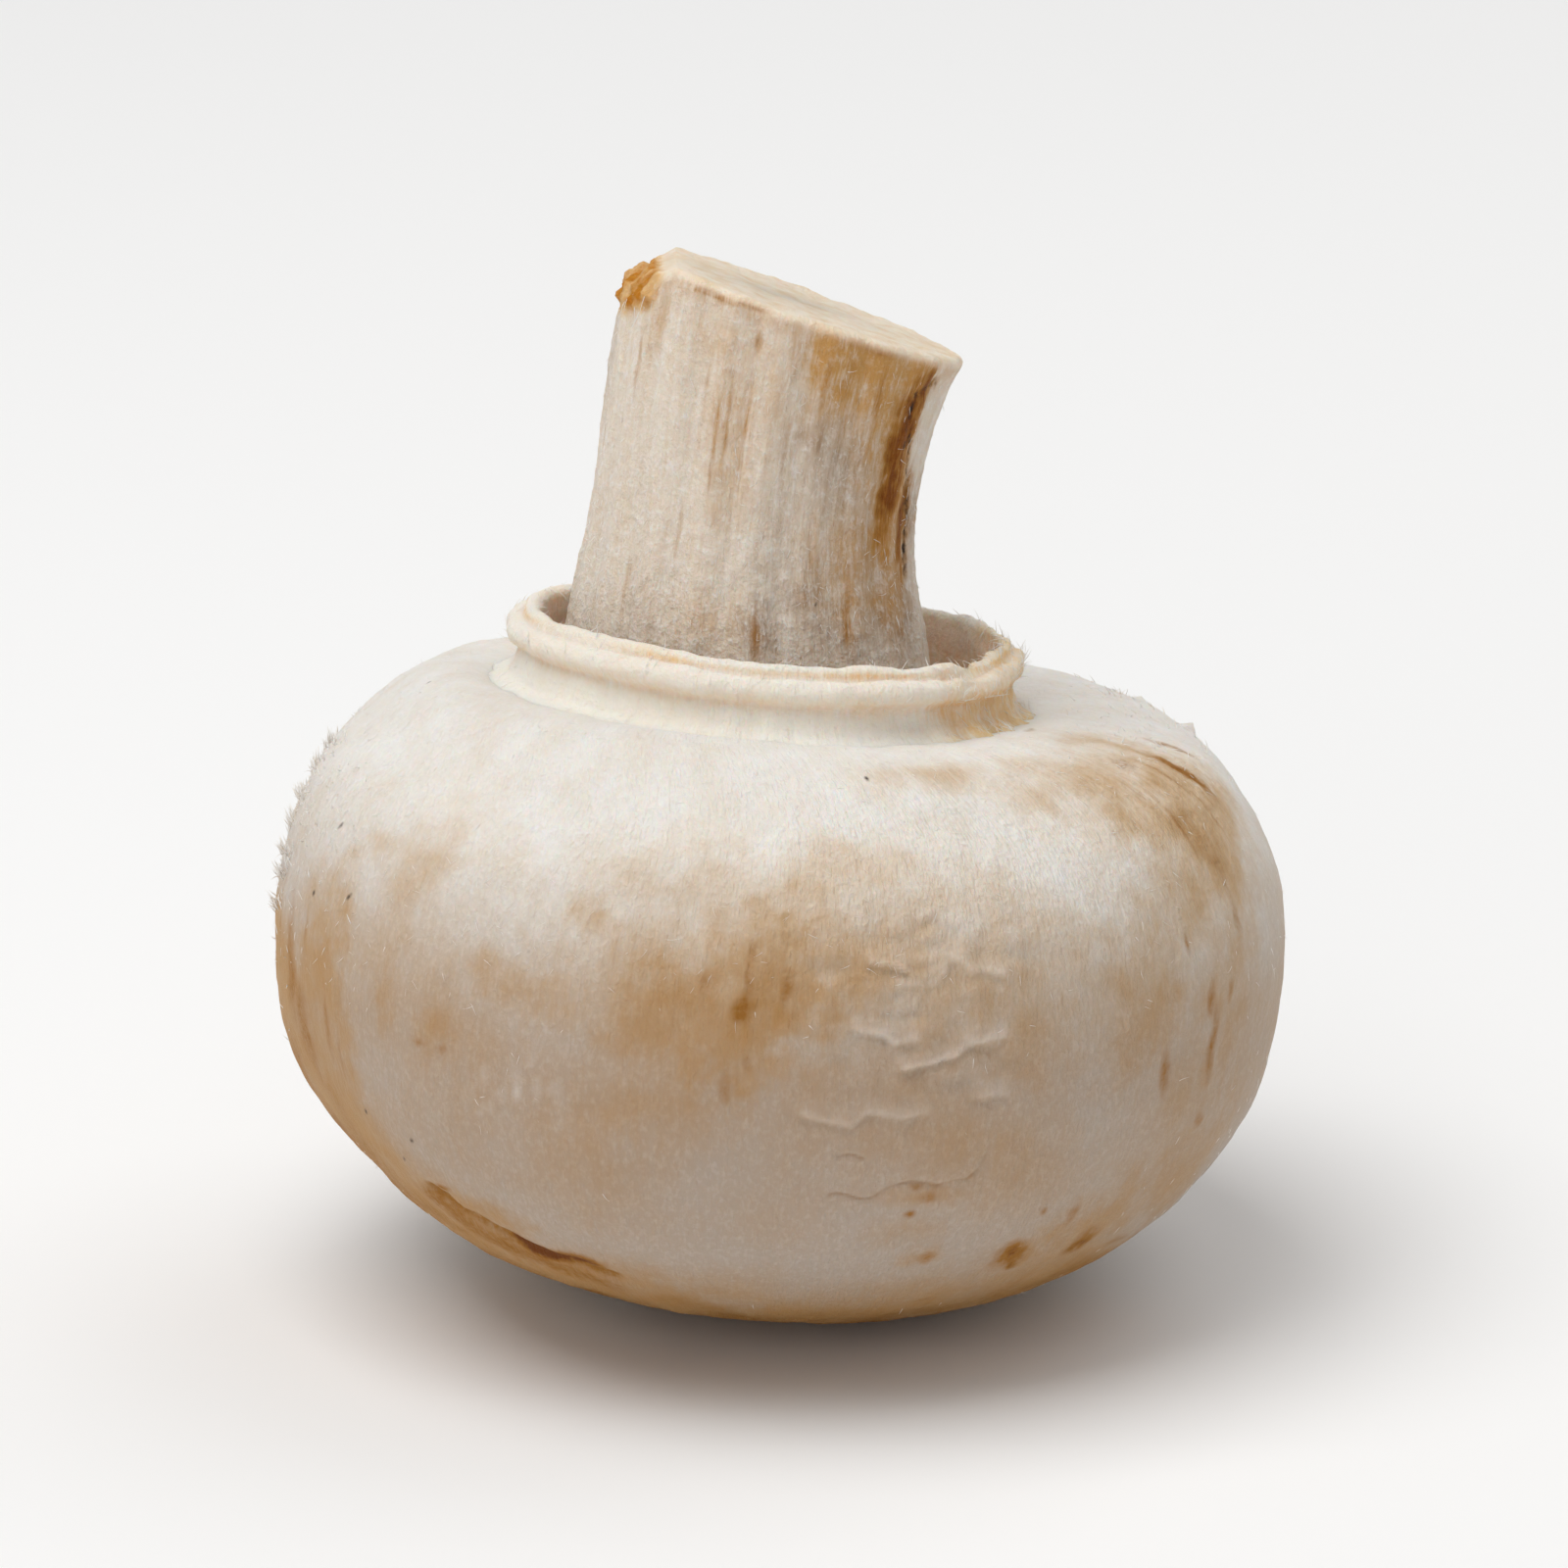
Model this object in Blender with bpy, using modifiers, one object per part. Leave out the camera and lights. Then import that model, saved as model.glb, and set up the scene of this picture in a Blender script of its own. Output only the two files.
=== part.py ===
"""A closed button mushroom that rests cap down on a table, with its cut stem up.

A mushroom grows as one piece: cap, torn veil and stem are one flesh, so it is one solid. Units are
metres and +Z is up. The origin is the middle of the small flat on which the cap rests. The mushroom
leans a little towards +X and +Y, because its stem grew off the middle of its cap.
"""

import math

import bmesh
import bpy
from mathutils import Matrix, Vector, noise

# Cap: heights are along the mushroom's own axis, from the crown that lies on the table
CAP_RADIUS = 0.0227
CAP_DEPTH_SHARE = 0.97
CROWN_HEIGHT = 0.0168
CROWN_FULLNESS = 2.28
CROWN_POINTS = 15
MARGIN_RADIUS = 0.0128
MARGIN_HEIGHT = 0.0108
MARGIN_FULLNESS = 2.15
MARGIN_POINTS = 11
MARGIN_TOP = CROWN_HEIGHT + MARGIN_HEIGHT

# Ring gap: the open groove between the stem and the collar of torn veil
GAP_DEPTH = 0.0016
GAP_FLOOR = MARGIN_TOP - GAP_DEPTH
GAP_HOLLOW = 0.0002

# Collar: the part of the veil that stayed on the cap, with an inner and a lower outer rolled lip
COLLAR_INNER_RADIUS = 0.0101
COLLAR_WALL = 0.00085
COLLAR_RADIUS = COLLAR_INNER_RADIUS + COLLAR_WALL
COLLAR_HEIGHT = 0.0028
COLLAR_SHIFT = 0.0004
LIP_RADIUS = 0.00046
LIP_POINTS = 6
INNER_LIP_SWEEP = (190, 15)
OUTER_LIP_SWEEP = (110, -80)
OUTER_LIP_DROP = 0.0006
OUTER_LIP_OVERHANG = 0.00013
WALL_WAIST = 0.0001
VALLEY_WIDTH = 0.0003
VALLEY_DEPTH = 0.00025

# Stem
STEM_BASE_RADIUS = 0.0085
STEM_WAIST_RADIUS = 0.0071
STEM_WAIST_SHARE = 0.6
STEM_CUT_RADIUS = 0.0072
STEM_TOP = 0.0455
STEM_POINTS = 9
WAIST_SHIFT = 0.0006
RIM_ROUNDING = 0.0004
RIM_POINTS = 3
CUT_FACE_RADII = (0.0026, 0.0050)
GAP_MIDDLE = (STEM_BASE_RADIUS + COLLAR_INNER_RADIUS) / 2

# Knife cut: an oblique plane whose rim flares on its low side and is broken down on its high side
CUT_SLOPE_X = -0.26
CUT_SLOPE_Y = -0.045
CHIP_START = -0.0050
CHIP_SLOPE = 0.75
FLARE = 0.0010
FLARE_REACH = 0.0022

# Growth: the stem and the margin beside it sit off the cap's axis and lean, the cap swells unevenly
STEM_OFFSET = Vector((-0.0019, 0.0, 0.0))
STEM_LEAN_RIGHT = math.radians(2.0)
STEM_LEAN_BACK = math.radians(4.5)
LEAN_RADIUS = 0.0125
SHOULDER_RADIUS = 0.0195
SWELLING = 0.00055
SWELLING_SCALE = 75.0
SWELLING_PLACE = Vector((3.1, 7.7, 1.3))
SWELLING_FADE = 0.006
STEM_RIB = 0.00010
STEM_RIBS = 19
RIB_FADE = 0.33
COLLAR_WAVE = 0.00018
COLLAR_WAVES = ((2.0, 0.5, 1.0), (5.0, 1.0, 0.6))
COLLAR_WAVE_RISE = 0.5

# Pose on the table
LEAN_RIGHT = math.radians(3.0)
LEAN_BACK = math.radians(3.0)
REST_CUT = 0.00045
TURN_STEPS = 80
MERGE_DISTANCE = 0.00002

FLESH_COLOUR = (0.80, 0.72, 0.61, 1.0)
FLESH_ROUGHNESS = 0.7


def smooth(share):
    """A share from 0 to 1 that starts and ends gently."""
    share = min(1.0, max(0.0, share))
    return share * share * (3.0 - 2.0 * share)


def arc(centre, radius, start, end, count):
    """Points on an arc in the profile plane, as (radius from the axis, height), angles in degrees."""
    points = []
    for index in range(count):
        angle = math.radians(start + (end - start) * index / (count - 1))
        points.append((centre[0] + radius * math.cos(angle), centre[1] + radius * math.sin(angle)))
    return points


def stem_radius(share):
    """The stem's radius from its root, at share 0, past its waist to the cut, at share 1."""
    if share < STEM_WAIST_SHARE:
        narrowing = smooth(share / STEM_WAIST_SHARE)
        return STEM_BASE_RADIUS + (STEM_WAIST_RADIUS - STEM_BASE_RADIUS) * narrowing
    widening = smooth((share - STEM_WAIST_SHARE) / (1.0 - STEM_WAIST_SHARE))
    return STEM_WAIST_RADIUS + (STEM_CUT_RADIUS - STEM_WAIST_RADIUS) * widening


def stem_outline():
    """From the middle of the cut, over its rim and down the stem to its root."""
    side_top = STEM_TOP - RIM_ROUNDING
    points = [(0.0, STEM_TOP)]
    points += [(radius, STEM_TOP) for radius in CUT_FACE_RADII]
    points += arc((STEM_CUT_RADIUS - RIM_ROUNDING, side_top), RIM_ROUNDING, 90, 0, RIM_POINTS)
    for index in range(1, STEM_POINTS + 1):
        share = 1.0 - index / STEM_POINTS
        points.append((stem_radius(share), GAP_FLOOR + (side_top - GAP_FLOOR) * share))
    return points


def collar_outline():
    """From the bottom of the ring gap, up the collar's inner wall, over its two lips and down outside."""
    lip_height = MARGIN_TOP + COLLAR_HEIGHT
    points = [
        (GAP_MIDDLE, GAP_FLOOR - GAP_HOLLOW),
        (COLLAR_INNER_RADIUS - WALL_WAIST, GAP_FLOOR + GAP_HOLLOW),
        (COLLAR_INNER_RADIUS + WALL_WAIST, (GAP_FLOOR + lip_height) / 2),
    ]
    points += arc((COLLAR_INNER_RADIUS + LIP_RADIUS, lip_height), LIP_RADIUS, *INNER_LIP_SWEEP, LIP_POINTS)
    outer_lip = (COLLAR_RADIUS + OUTER_LIP_OVERHANG, lip_height - OUTER_LIP_DROP)
    points += arc(outer_lip, LIP_RADIUS, *OUTER_LIP_SWEEP, LIP_POINTS)
    points.append((COLLAR_RADIUS, (MARGIN_TOP + lip_height) / 2))
    points.append((COLLAR_RADIUS + WALL_WAIST, MARGIN_TOP))
    points.append((COLLAR_RADIUS + VALLEY_WIDTH, MARGIN_TOP - VALLEY_DEPTH))
    return points


def cap_outline():
    """From beside the collar, over the rolled-in margin and the widest line, down to the crown."""
    points = []
    for index in range(MARGIN_POINTS):
        angle = math.radians(90.0 - 90.0 * index / MARGIN_POINTS)
        across = math.cos(angle) ** (2.0 / MARGIN_FULLNESS)
        up = math.sin(angle) ** (2.0 / MARGIN_FULLNESS)
        radius = MARGIN_RADIUS + (CAP_RADIUS - MARGIN_RADIUS) * across
        points.append((radius, CROWN_HEIGHT + MARGIN_HEIGHT * up))
    for index in range(CROWN_POINTS):
        angle = math.radians(90.0 * index / CROWN_POINTS)
        across = math.cos(angle) ** (2.0 / CROWN_FULLNESS)
        down = math.sin(angle) ** (2.0 / CROWN_FULLNESS)
        points.append((CAP_RADIUS * across, CROWN_HEIGHT * (1.0 - down)))
    points.append((0.0, 0.0))
    return points


def turned_mesh(outline):
    """The outline turned once round the mushroom's axis, as a closed mesh."""
    profile = bpy.data.meshes.new("profile")
    edges = [(index, index + 1) for index in range(len(outline) - 1)]
    profile.from_pydata([(radius, 0.0, height) for radius, height in outline], edges, [])
    lathe = bpy.data.objects.new("lathe", profile)
    bpy.context.collection.objects.link(lathe)
    turn = lathe.modifiers.new("turn", "SCREW")
    turn.steps = TURN_STEPS
    turn.render_steps = TURN_STEPS
    turn.use_merge_vertices = True
    turn.merge_threshold = MERGE_DISTANCE
    graph = bpy.context.evaluated_depsgraph_get()
    mesh = bpy.data.meshes.new_from_object(lathe.evaluated_get(graph))
    bpy.data.objects.remove(lathe)
    bpy.data.meshes.remove(profile)
    return mesh


def cut_height(x, y):
    """How far the knife cut lies above or below the stem's top at this place."""
    rise = CUT_SLOPE_X * x + CUT_SLOPE_Y * y
    if x < CHIP_START:
        rise -= CHIP_SLOPE * (CHIP_START - x)
    return rise


def grown_stem(point):
    """A stem point with the waist, the ribs, the flared rim and the oblique cut."""
    share = (point.z - GAP_FLOOR) / (STEM_TOP - GAP_FLOOR)
    angle = math.atan2(point.y, point.x)
    radius = math.hypot(point.x, point.y)
    edge = smooth(radius / STEM_WAIST_RADIUS)
    flare = FLARE * max(0.0, math.cos(angle)) ** 2 * math.exp((point.z - STEM_TOP) / FLARE_REACH)
    rib = STEM_RIB * math.sin(STEM_RIBS * angle) * smooth(share / RIB_FADE)
    radius += edge * (flare + rib)
    x = radius * math.cos(angle)
    y = radius * math.sin(angle)
    height = point.z + smooth(share) * cut_height(x, y)
    waist = -WAIST_SHIFT * math.sin(math.pi * min(1.0, max(0.0, share)))
    return Vector((x + waist, y, height))


def grown_collar(point):
    """A collar point with the veil's uneven edge."""
    angle = math.atan2(point.y, point.x)
    outward = Vector((math.cos(angle), math.sin(angle), 0.0))
    wave = sum(share * math.sin(count * angle + start) for count, start, share in COLLAR_WAVES)
    wave *= COLLAR_WAVE
    return point + outward * wave + Vector((COLLAR_SHIFT, 0.0, COLLAR_WAVE_RISE * wave))


def grown_cap(point):
    """A cap point with the slow swellings of a grown cap."""
    outward = Vector((point.x, point.y, point.z - CROWN_HEIGHT)).normalized()
    swelling = SWELLING * noise.noise(point * SWELLING_SCALE + SWELLING_PLACE)
    from_margin = smooth((math.hypot(point.x, point.y) - MARGIN_RADIUS) / SWELLING_FADE)
    near_crown = smooth(1.0 - point.z / CROWN_HEIGHT)
    moved = point + outward * swelling * max(from_margin, near_crown)
    moved.y *= CAP_DEPTH_SHARE
    return moved


def off_centre(point):
    """Moves and leans the stem, the collar and the margin beside them off the cap's axis."""
    radius = math.hypot(point.x, point.y)
    leaning = smooth((point.z - CROWN_HEIGHT) / MARGIN_HEIGHT)
    leaning *= smooth((SHOULDER_RADIUS - radius) / (SHOULDER_RADIUS - LEAN_RADIUS))
    hub = Vector((0.0, 0.0, MARGIN_TOP))
    lean = Matrix.Rotation(STEM_LEAN_RIGHT * leaning, 3, "Y")
    lean = lean @ Matrix.Rotation(-STEM_LEAN_BACK * leaning, 3, "X")
    return hub + lean @ (point - hub) + STEM_OFFSET * leaning


def grow(mesh):
    """Gives the turned mesh the uneven shape of a grown mushroom."""
    for vertex in mesh.vertices:
        point = vertex.co.copy()
        radius = math.hypot(point.x, point.y)
        if point.z > GAP_FLOOR and radius < GAP_MIDDLE:
            point = grown_stem(point)
        elif point.z > MARGIN_TOP and radius < MARGIN_RADIUS:
            point = grown_collar(point)
        else:
            point = grown_cap(point)
        vertex.co = off_centre(point)


def stand_on_table(mesh):
    """Leans the mushroom and lowers it until the table would take REST_CUT off its crown."""
    mesh.transform(Matrix.Rotation(LEAN_RIGHT, 4, "Y") @ Matrix.Rotation(-LEAN_BACK, 4, "X"))
    lowest = min(vertex.co.z for vertex in mesh.vertices)
    mesh.transform(Matrix.Translation((0.0, 0.0, -lowest - REST_CUT)))


def flatten_rest(mesh):
    """Cuts the crown at the table's plane, closes the cut with one flat face and centres that."""
    shape = bmesh.new()
    shape.from_mesh(mesh)
    everything = shape.verts[:] + shape.edges[:] + shape.faces[:]
    cut = bmesh.ops.bisect_plane(
        shape, geom=everything, dist=MERGE_DISTANCE, plane_co=(0, 0, 0), plane_no=(0, 0, -1), clear_outer=True
    )
    rim = [item for item in cut["geom_cut"] if isinstance(item, bmesh.types.BMEdge)]
    corners = {corner for edge in rim for corner in edge.verts}
    centre = sum((corner.co for corner in corners), Vector()) / len(corners)
    bmesh.ops.contextual_create(shape, geom=rim)
    bmesh.ops.recalc_face_normals(shape, faces=shape.faces[:])
    shape.to_mesh(mesh)
    shape.free()
    mesh.transform(Matrix.Translation((-centre.x, -centre.y, 0.0)))


def flesh_material():
    """The pale, dull flesh that the whole mushroom is made of."""
    material = bpy.data.materials.new("flesh")
    material.use_nodes = True
    shader = material.node_tree.nodes["Principled BSDF"]
    shader.inputs["Base Color"].default_value = FLESH_COLOUR
    shader.inputs["Roughness"].default_value = FLESH_ROUGHNESS
    shader.inputs["Metallic"].default_value = 0.0
    return material


def make_mushroom():
    """The mushroom as one solid, in a collection of its own."""
    mesh = turned_mesh(stem_outline() + collar_outline() + cap_outline())
    grow(mesh)
    stand_on_table(mesh)
    flatten_rest(mesh)
    mesh.name = "mushroom"
    mesh.materials.append(flesh_material())
    mesh.shade_smooth()
    mushroom = bpy.data.objects.new("mushroom", mesh)
    collection = bpy.data.collections.new("button_mushroom")
    bpy.context.scene.collection.children.link(collection)
    collection.objects.link(mushroom)


for old in list(bpy.data.objects):
    bpy.data.objects.remove(old)
make_mushroom()
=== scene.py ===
import math

import bpy
import numpy as np
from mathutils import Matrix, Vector, noise


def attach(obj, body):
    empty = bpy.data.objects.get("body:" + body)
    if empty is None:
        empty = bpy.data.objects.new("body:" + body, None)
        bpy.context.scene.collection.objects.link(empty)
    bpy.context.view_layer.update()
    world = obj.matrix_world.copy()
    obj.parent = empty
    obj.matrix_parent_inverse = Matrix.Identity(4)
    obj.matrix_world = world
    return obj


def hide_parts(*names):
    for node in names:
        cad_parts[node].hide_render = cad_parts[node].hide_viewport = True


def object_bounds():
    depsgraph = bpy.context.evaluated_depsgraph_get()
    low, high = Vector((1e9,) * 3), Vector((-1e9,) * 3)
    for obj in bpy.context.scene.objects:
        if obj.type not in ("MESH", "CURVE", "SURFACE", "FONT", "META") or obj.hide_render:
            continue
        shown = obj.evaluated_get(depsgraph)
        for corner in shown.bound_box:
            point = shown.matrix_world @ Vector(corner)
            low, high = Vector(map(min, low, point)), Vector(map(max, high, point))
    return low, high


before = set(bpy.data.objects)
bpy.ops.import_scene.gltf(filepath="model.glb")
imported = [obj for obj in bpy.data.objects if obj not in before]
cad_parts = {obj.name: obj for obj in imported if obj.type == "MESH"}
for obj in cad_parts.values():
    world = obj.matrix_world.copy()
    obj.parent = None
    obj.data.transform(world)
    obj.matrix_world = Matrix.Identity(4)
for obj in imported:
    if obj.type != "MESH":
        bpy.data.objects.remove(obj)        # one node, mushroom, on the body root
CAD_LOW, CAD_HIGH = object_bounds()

# Camera: the photograph's viewing angle, a little above the table, on a longer lens, so that the mushroom
# fills the picture. The photograph's own pixels still have a place on the mushroom, for its marks.
VIEW_ELEVATION = math.radians(18.0)
VIEW_DISTANCE = 0.5298
VIEW_TARGET = Vector((0.0, 0.0, 0.0233))
PHOTO_TARGET_PIXEL = (965.0, 925.0)
PHOTO_FOCAL_PIXELS = 3777.8
SENSOR_WIDTH = 36.0
WINDOW_PIXELS = 500.0
TOWARDS_CAMERA = Vector((0.0, -math.cos(VIEW_ELEVATION), math.sin(VIEW_ELEVATION)))
CAMERA_UP = Vector((0.0, math.sin(VIEW_ELEVATION), math.cos(VIEW_ELEVATION)))

camera = bpy.data.objects.new("camera", bpy.data.cameras.new("camera"))
bpy.context.scene.collection.objects.link(camera)
camera.location = VIEW_TARGET + TOWARDS_CAMERA * VIEW_DISTANCE
camera.rotation_euler = TOWARDS_CAMERA.to_track_quat("Z", "Y").to_euler()
camera.data.sensor_width = SENSOR_WIDTH
camera.data.lens = SENSOR_WIDTH * PHOTO_FOCAL_PIXELS / WINDOW_PIXELS
camera.data.clip_start = 0.01
camera.data.clip_end = 20.0
bpy.context.scene.camera = camera


def photo_pixels(points):
    """Where each point of an array lies in the photograph, as an array of pixels across and down."""
    from_target = points - np.array(VIEW_TARGET)
    depth = VIEW_DISTANCE - from_target @ np.array(TOWARDS_CAMERA)
    across = PHOTO_TARGET_PIXEL[0] + PHOTO_FOCAL_PIXELS * from_target[:, 0] / depth
    down = PHOTO_TARGET_PIXEL[1] - PHOTO_FOCAL_PIXELS * (from_target @ np.array(CAMERA_UP)) / depth
    return np.stack([across, down], axis=1)


# Cap: white flesh under a thin silky skin of fibres that run from the rolled-in margin down to the crown.
# It lies crown down, bruised tan in places. It is one growth with the stem, so its sizes are the CAD's.
CAP_RADIUS = 0.0227
CAP_DEPTH_SHARE = 0.97
CROWN_HEIGHT = 0.0168
CROWN_FULLNESS = 2.28
MARGIN_RADIUS = 0.0128
MARGIN_HEIGHT = 0.0108
MARGIN_FULLNESS = 2.15
MARGIN_TOP = CROWN_HEIGHT + MARGIN_HEIGHT
GAP_FLOOR = MARGIN_TOP - 0.0016
SWELLING = 0.00055
SWELLING_SCALE = 75.0
SWELLING_PLACE = (3.1, 7.7, 1.3)
SWELLING_FADE = 0.006
STEM_OFFSET = -0.0019
STEM_LEAN_RIGHT = math.radians(2.0)
STEM_LEAN_BACK = math.radians(4.5)
LEAN_RADIUS = 0.0125
SHOULDER_RADIUS = 0.0195
LEAN_RIGHT = math.radians(3.0)
LEAN_BACK = math.radians(3.0)
REST_CUT = 0.00045
FLOOR_RING_WEIGHT = 0.1
CROWN_RING_WEIGHT = 0.6
CROWN_STEPS = 25
CAP_SEGMENTS = 416
CAP_RINGS = 138


def eased(share):
    """A share from 0 to 1 that starts and ends gently, for numbers and arrays alike."""
    share = np.clip(share, 0.0, 1.0)
    return share * share * (3.0 - 2.0 * share)


NO_PLACE = (0.0, 0.0, 0.0)


def noise_at(points, scale, place=NO_PLACE):
    """Smooth noise from about -1 to 1 at each point of an array, scaled and then moved."""
    moved = points * np.array(scale) + np.array(place)
    return np.array([noise.noise(corner) for corner in moved.tolist()])


def layered(points, layers):
    """Noises of several grains added up, each with its height, its scale and its place."""
    return sum(height * noise_at(points, scale, place) for height, scale, place in layers)


def vectors_of(layer, name="vector"):
    """One of the mesh's layers as an array, with a vector for each corner."""
    flat = np.empty(len(layer) * 3, np.float32)
    layer.foreach_get(name, flat)
    return flat.reshape(-1, 3).astype(float)


def corners_of(piece):
    """The mesh's corners as an array."""
    return vectors_of(piece.data.vertices, "co")


def move_corners(piece, points):
    """Puts the mesh's corners where the array says."""
    piece.data.vertices.foreach_set("co", points.astype(np.float32).ravel())
    piece.data.update()


def paint(piece, name, values):
    """Stores one number, or one vector, for each corner, for the material to read."""
    kind = "FLOAT_VECTOR" if values.ndim == 2 else "FLOAT"
    layer = piece.data.attributes.get(name) or piece.data.attributes.new(name, kind, "POINT")
    layer.data.foreach_set("vector" if values.ndim == 2 else "value", values.astype(np.float32).ravel())


def along_fibres(turn, length, across=1.0, along=1.0):
    """The turn round the axis and the length in millimetres as a place, for what follows the fibres."""
    return np.stack([np.cos(turn) * across, np.sin(turn) * across, length * along], axis=1)


def line_lengths(line, weights=None):
    """How far along the line each of its points lies, with stretches shortened by their weights."""
    steps = np.hypot(*np.diff(line, axis=0).T)
    if weights is not None:
        steps = steps * weights
    return np.concatenate([[0.0], np.cumsum(steps)])


def laid_tube(name, segments, rings, line, weights):
    """A cylinder primitive divided into rings, which are laid along a line from the axis and back to it.
    It returns the piece, each corner's turn round the axis and its length along the line."""
    bpy.ops.object.select_all(action="DESELECT")
    bpy.ops.mesh.primitive_cylinder_add(vertices=segments, radius=1.0, depth=1.0, end_fill_type="TRIFAN")
    piece = bpy.context.object
    piece.name = name
    piece.data.name = name
    heights = corners_of(piece)[:, 2]
    ends = [tuple(edge.vertices) for edge in piece.data.edges]
    upright = np.array([abs(heights[first] - heights[last]) > 0.5 for first, last in ends])
    bpy.ops.object.mode_set(mode="EDIT")
    bpy.ops.mesh.select_mode(type="EDGE")
    bpy.ops.mesh.select_all(action="DESELECT")
    bpy.ops.object.mode_set(mode="OBJECT")
    piece.data.edges.foreach_set("select", upright)
    bpy.ops.object.mode_set(mode="EDIT")
    bpy.ops.mesh.subdivide_edgering(number_cuts=rings - 3, interpolation="LINEAR", smoothness=0.0)
    bpy.ops.mesh.select_mode(type="VERT")
    bpy.ops.object.mode_set(mode="OBJECT")
    start = corners_of(piece)
    turn = np.arctan2(start[:, 1], start[:, 0])
    ring = 1.0 + (0.5 - start[:, 2]) * (rings - 2)
    at_end = np.hypot(start[:, 0], start[:, 1]) < 0.5
    ring[at_end] = np.where(start[at_end, 2] > 0.0, 0.0, rings)
    down = ring / rings
    share = line_lengths(line, weights)
    radius = np.interp(down, share / share[-1], line[:, 0])
    height = np.interp(down, share / share[-1], line[:, 1])
    length = np.interp(down, share / share[-1], line_lengths(line))
    move_corners(piece, np.stack([radius * np.cos(turn), radius * np.sin(turn), height], axis=1))
    return piece, turn, length


def leaned(points, right, back):
    """Points turned by the angle back, towards +Y, and then by the angle right, towards +X."""
    x, y, z = points.T
    y, z = y * np.cos(back) + z * np.sin(back), -y * np.sin(back) + z * np.cos(back)
    x, z = x * np.cos(right) + z * np.sin(right), -x * np.sin(right) + z * np.cos(right)
    return np.stack([x, y, z], axis=1)


def off_centre(points):
    """Moves and leans the stem, the collar and the margin beside them off the cap's axis."""
    radius = np.hypot(points[:, 0], points[:, 1])
    leaning = eased((points[:, 2] - CROWN_HEIGHT) / MARGIN_HEIGHT)
    leaning = leaning * eased((SHOULDER_RADIUS - radius) / (SHOULDER_RADIUS - LEAN_RADIUS))
    hub = np.array((0.0, 0.0, MARGIN_TOP))
    moved = leaned(points - hub, STEM_LEAN_RIGHT * leaning, STEM_LEAN_BACK * leaning) + hub
    moved[:, 0] += STEM_OFFSET * leaning
    return moved


def superellipse(start, end, count, fullness):
    """Shares across and up of a rounded quarter, between two angles in degrees."""
    angles = np.radians(np.linspace(start, end, count))
    across = np.cos(angles) ** (2.0 / fullness)
    up = np.sin(angles) ** (2.0 / fullness)
    return across, up


across, up = superellipse(90.0, 0.0, 60, MARGIN_FULLNESS)
margin_line = np.stack([
    MARGIN_RADIUS + (CAP_RADIUS - MARGIN_RADIUS) * across, CROWN_HEIGHT + MARGIN_HEIGHT * up,
], axis=1)
across, up = superellipse(0.0, 90.0, 90, CROWN_FULLNESS)
crown_line = np.stack([CAP_RADIUS * across, CROWN_HEIGHT * (1.0 - up)], axis=1)
gap_line = np.array([
    (0.0, GAP_FLOOR), (0.0080, GAP_FLOOR), (0.0088, GAP_FLOOR - 0.0002), (0.0096, GAP_FLOOR - 0.0002),
    (0.0103, GAP_FLOOR + 0.0003), (0.0106, MARGIN_TOP - 0.0006), (0.0110, MARGIN_TOP - 0.0003),
    (0.0115, MARGIN_TOP - 0.0002), (0.0121, MARGIN_TOP - 0.00005),
])
cap_line = np.concatenate([gap_line, margin_line, crown_line[1:]])
cap_line[-1, 0] = 0.0
ring_weights = np.ones(len(cap_line) - 1)
ring_weights[0] = FLOOR_RING_WEIGHT
ring_weights[-CROWN_STEPS:] = CROWN_RING_WEIGHT
cap, cap_turn, cap_length = laid_tube("cap", CAP_SEGMENTS, CAP_RINGS, cap_line, ring_weights)
cap_length -= line_lengths(cap_line)[len(gap_line)]

points = corners_of(cap)
outward = points - np.array((0.0, 0.0, CROWN_HEIGHT))
outward /= np.linalg.norm(outward, axis=1)[:, None]
from_margin = eased((np.hypot(points[:, 0], points[:, 1]) - MARGIN_RADIUS) / SWELLING_FADE)
near_crown = eased(1.0 - points[:, 2] / CROWN_HEIGHT)
swelling = SWELLING * noise_at(points, SWELLING_SCALE, SWELLING_PLACE) * np.maximum(from_margin, near_crown)
points += outward * swelling[:, None]
points[:, 1] *= CAP_DEPTH_SHARE
points = leaned(off_centre(points), LEAN_RIGHT, LEAN_BACK)
CAP_PLACE = np.array([
    (CAD_LOW.x + CAD_HIGH.x - points[:, 0].min() - points[:, 0].max()) / 2,
    (CAD_LOW.y + CAD_HIGH.y - points[:, 1].min() - points[:, 1].max()) / 2,
    -points[:, 2].min() - REST_CUT,
])
move_corners(cap, points + CAP_PLACE)
MM = 1000.0
paint(cap, "flow", along_fibres(cap_turn, cap_length * MM))

# Fine skin where the photograph shows wrinkles and marks: there each face is divided in nine
FINE_BOXES = (
    (962, 962, 1042, 1040), (935, 972, 962, 1031), (843, 1044, 912, 1084), (976, 1040, 1064, 1082),
    (1066, 966, 1110, 1036), (1070, 890, 1112, 930),
)
FINE_TILT = 0.05
CAMERA_WAY = np.array(TOWARDS_CAMERA)


def in_boxes(pixels, facing, boxes):
    """Which points face the camera inside one of the photograph's pixel boxes."""
    inside = np.zeros(len(pixels), bool)
    for left, top, right, bottom in boxes:
        fits_across = (pixels[:, 0] > left) & (pixels[:, 0] < right)
        inside |= fits_across & (pixels[:, 1] > top) & (pixels[:, 1] < bottom)
    return inside & facing


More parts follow.
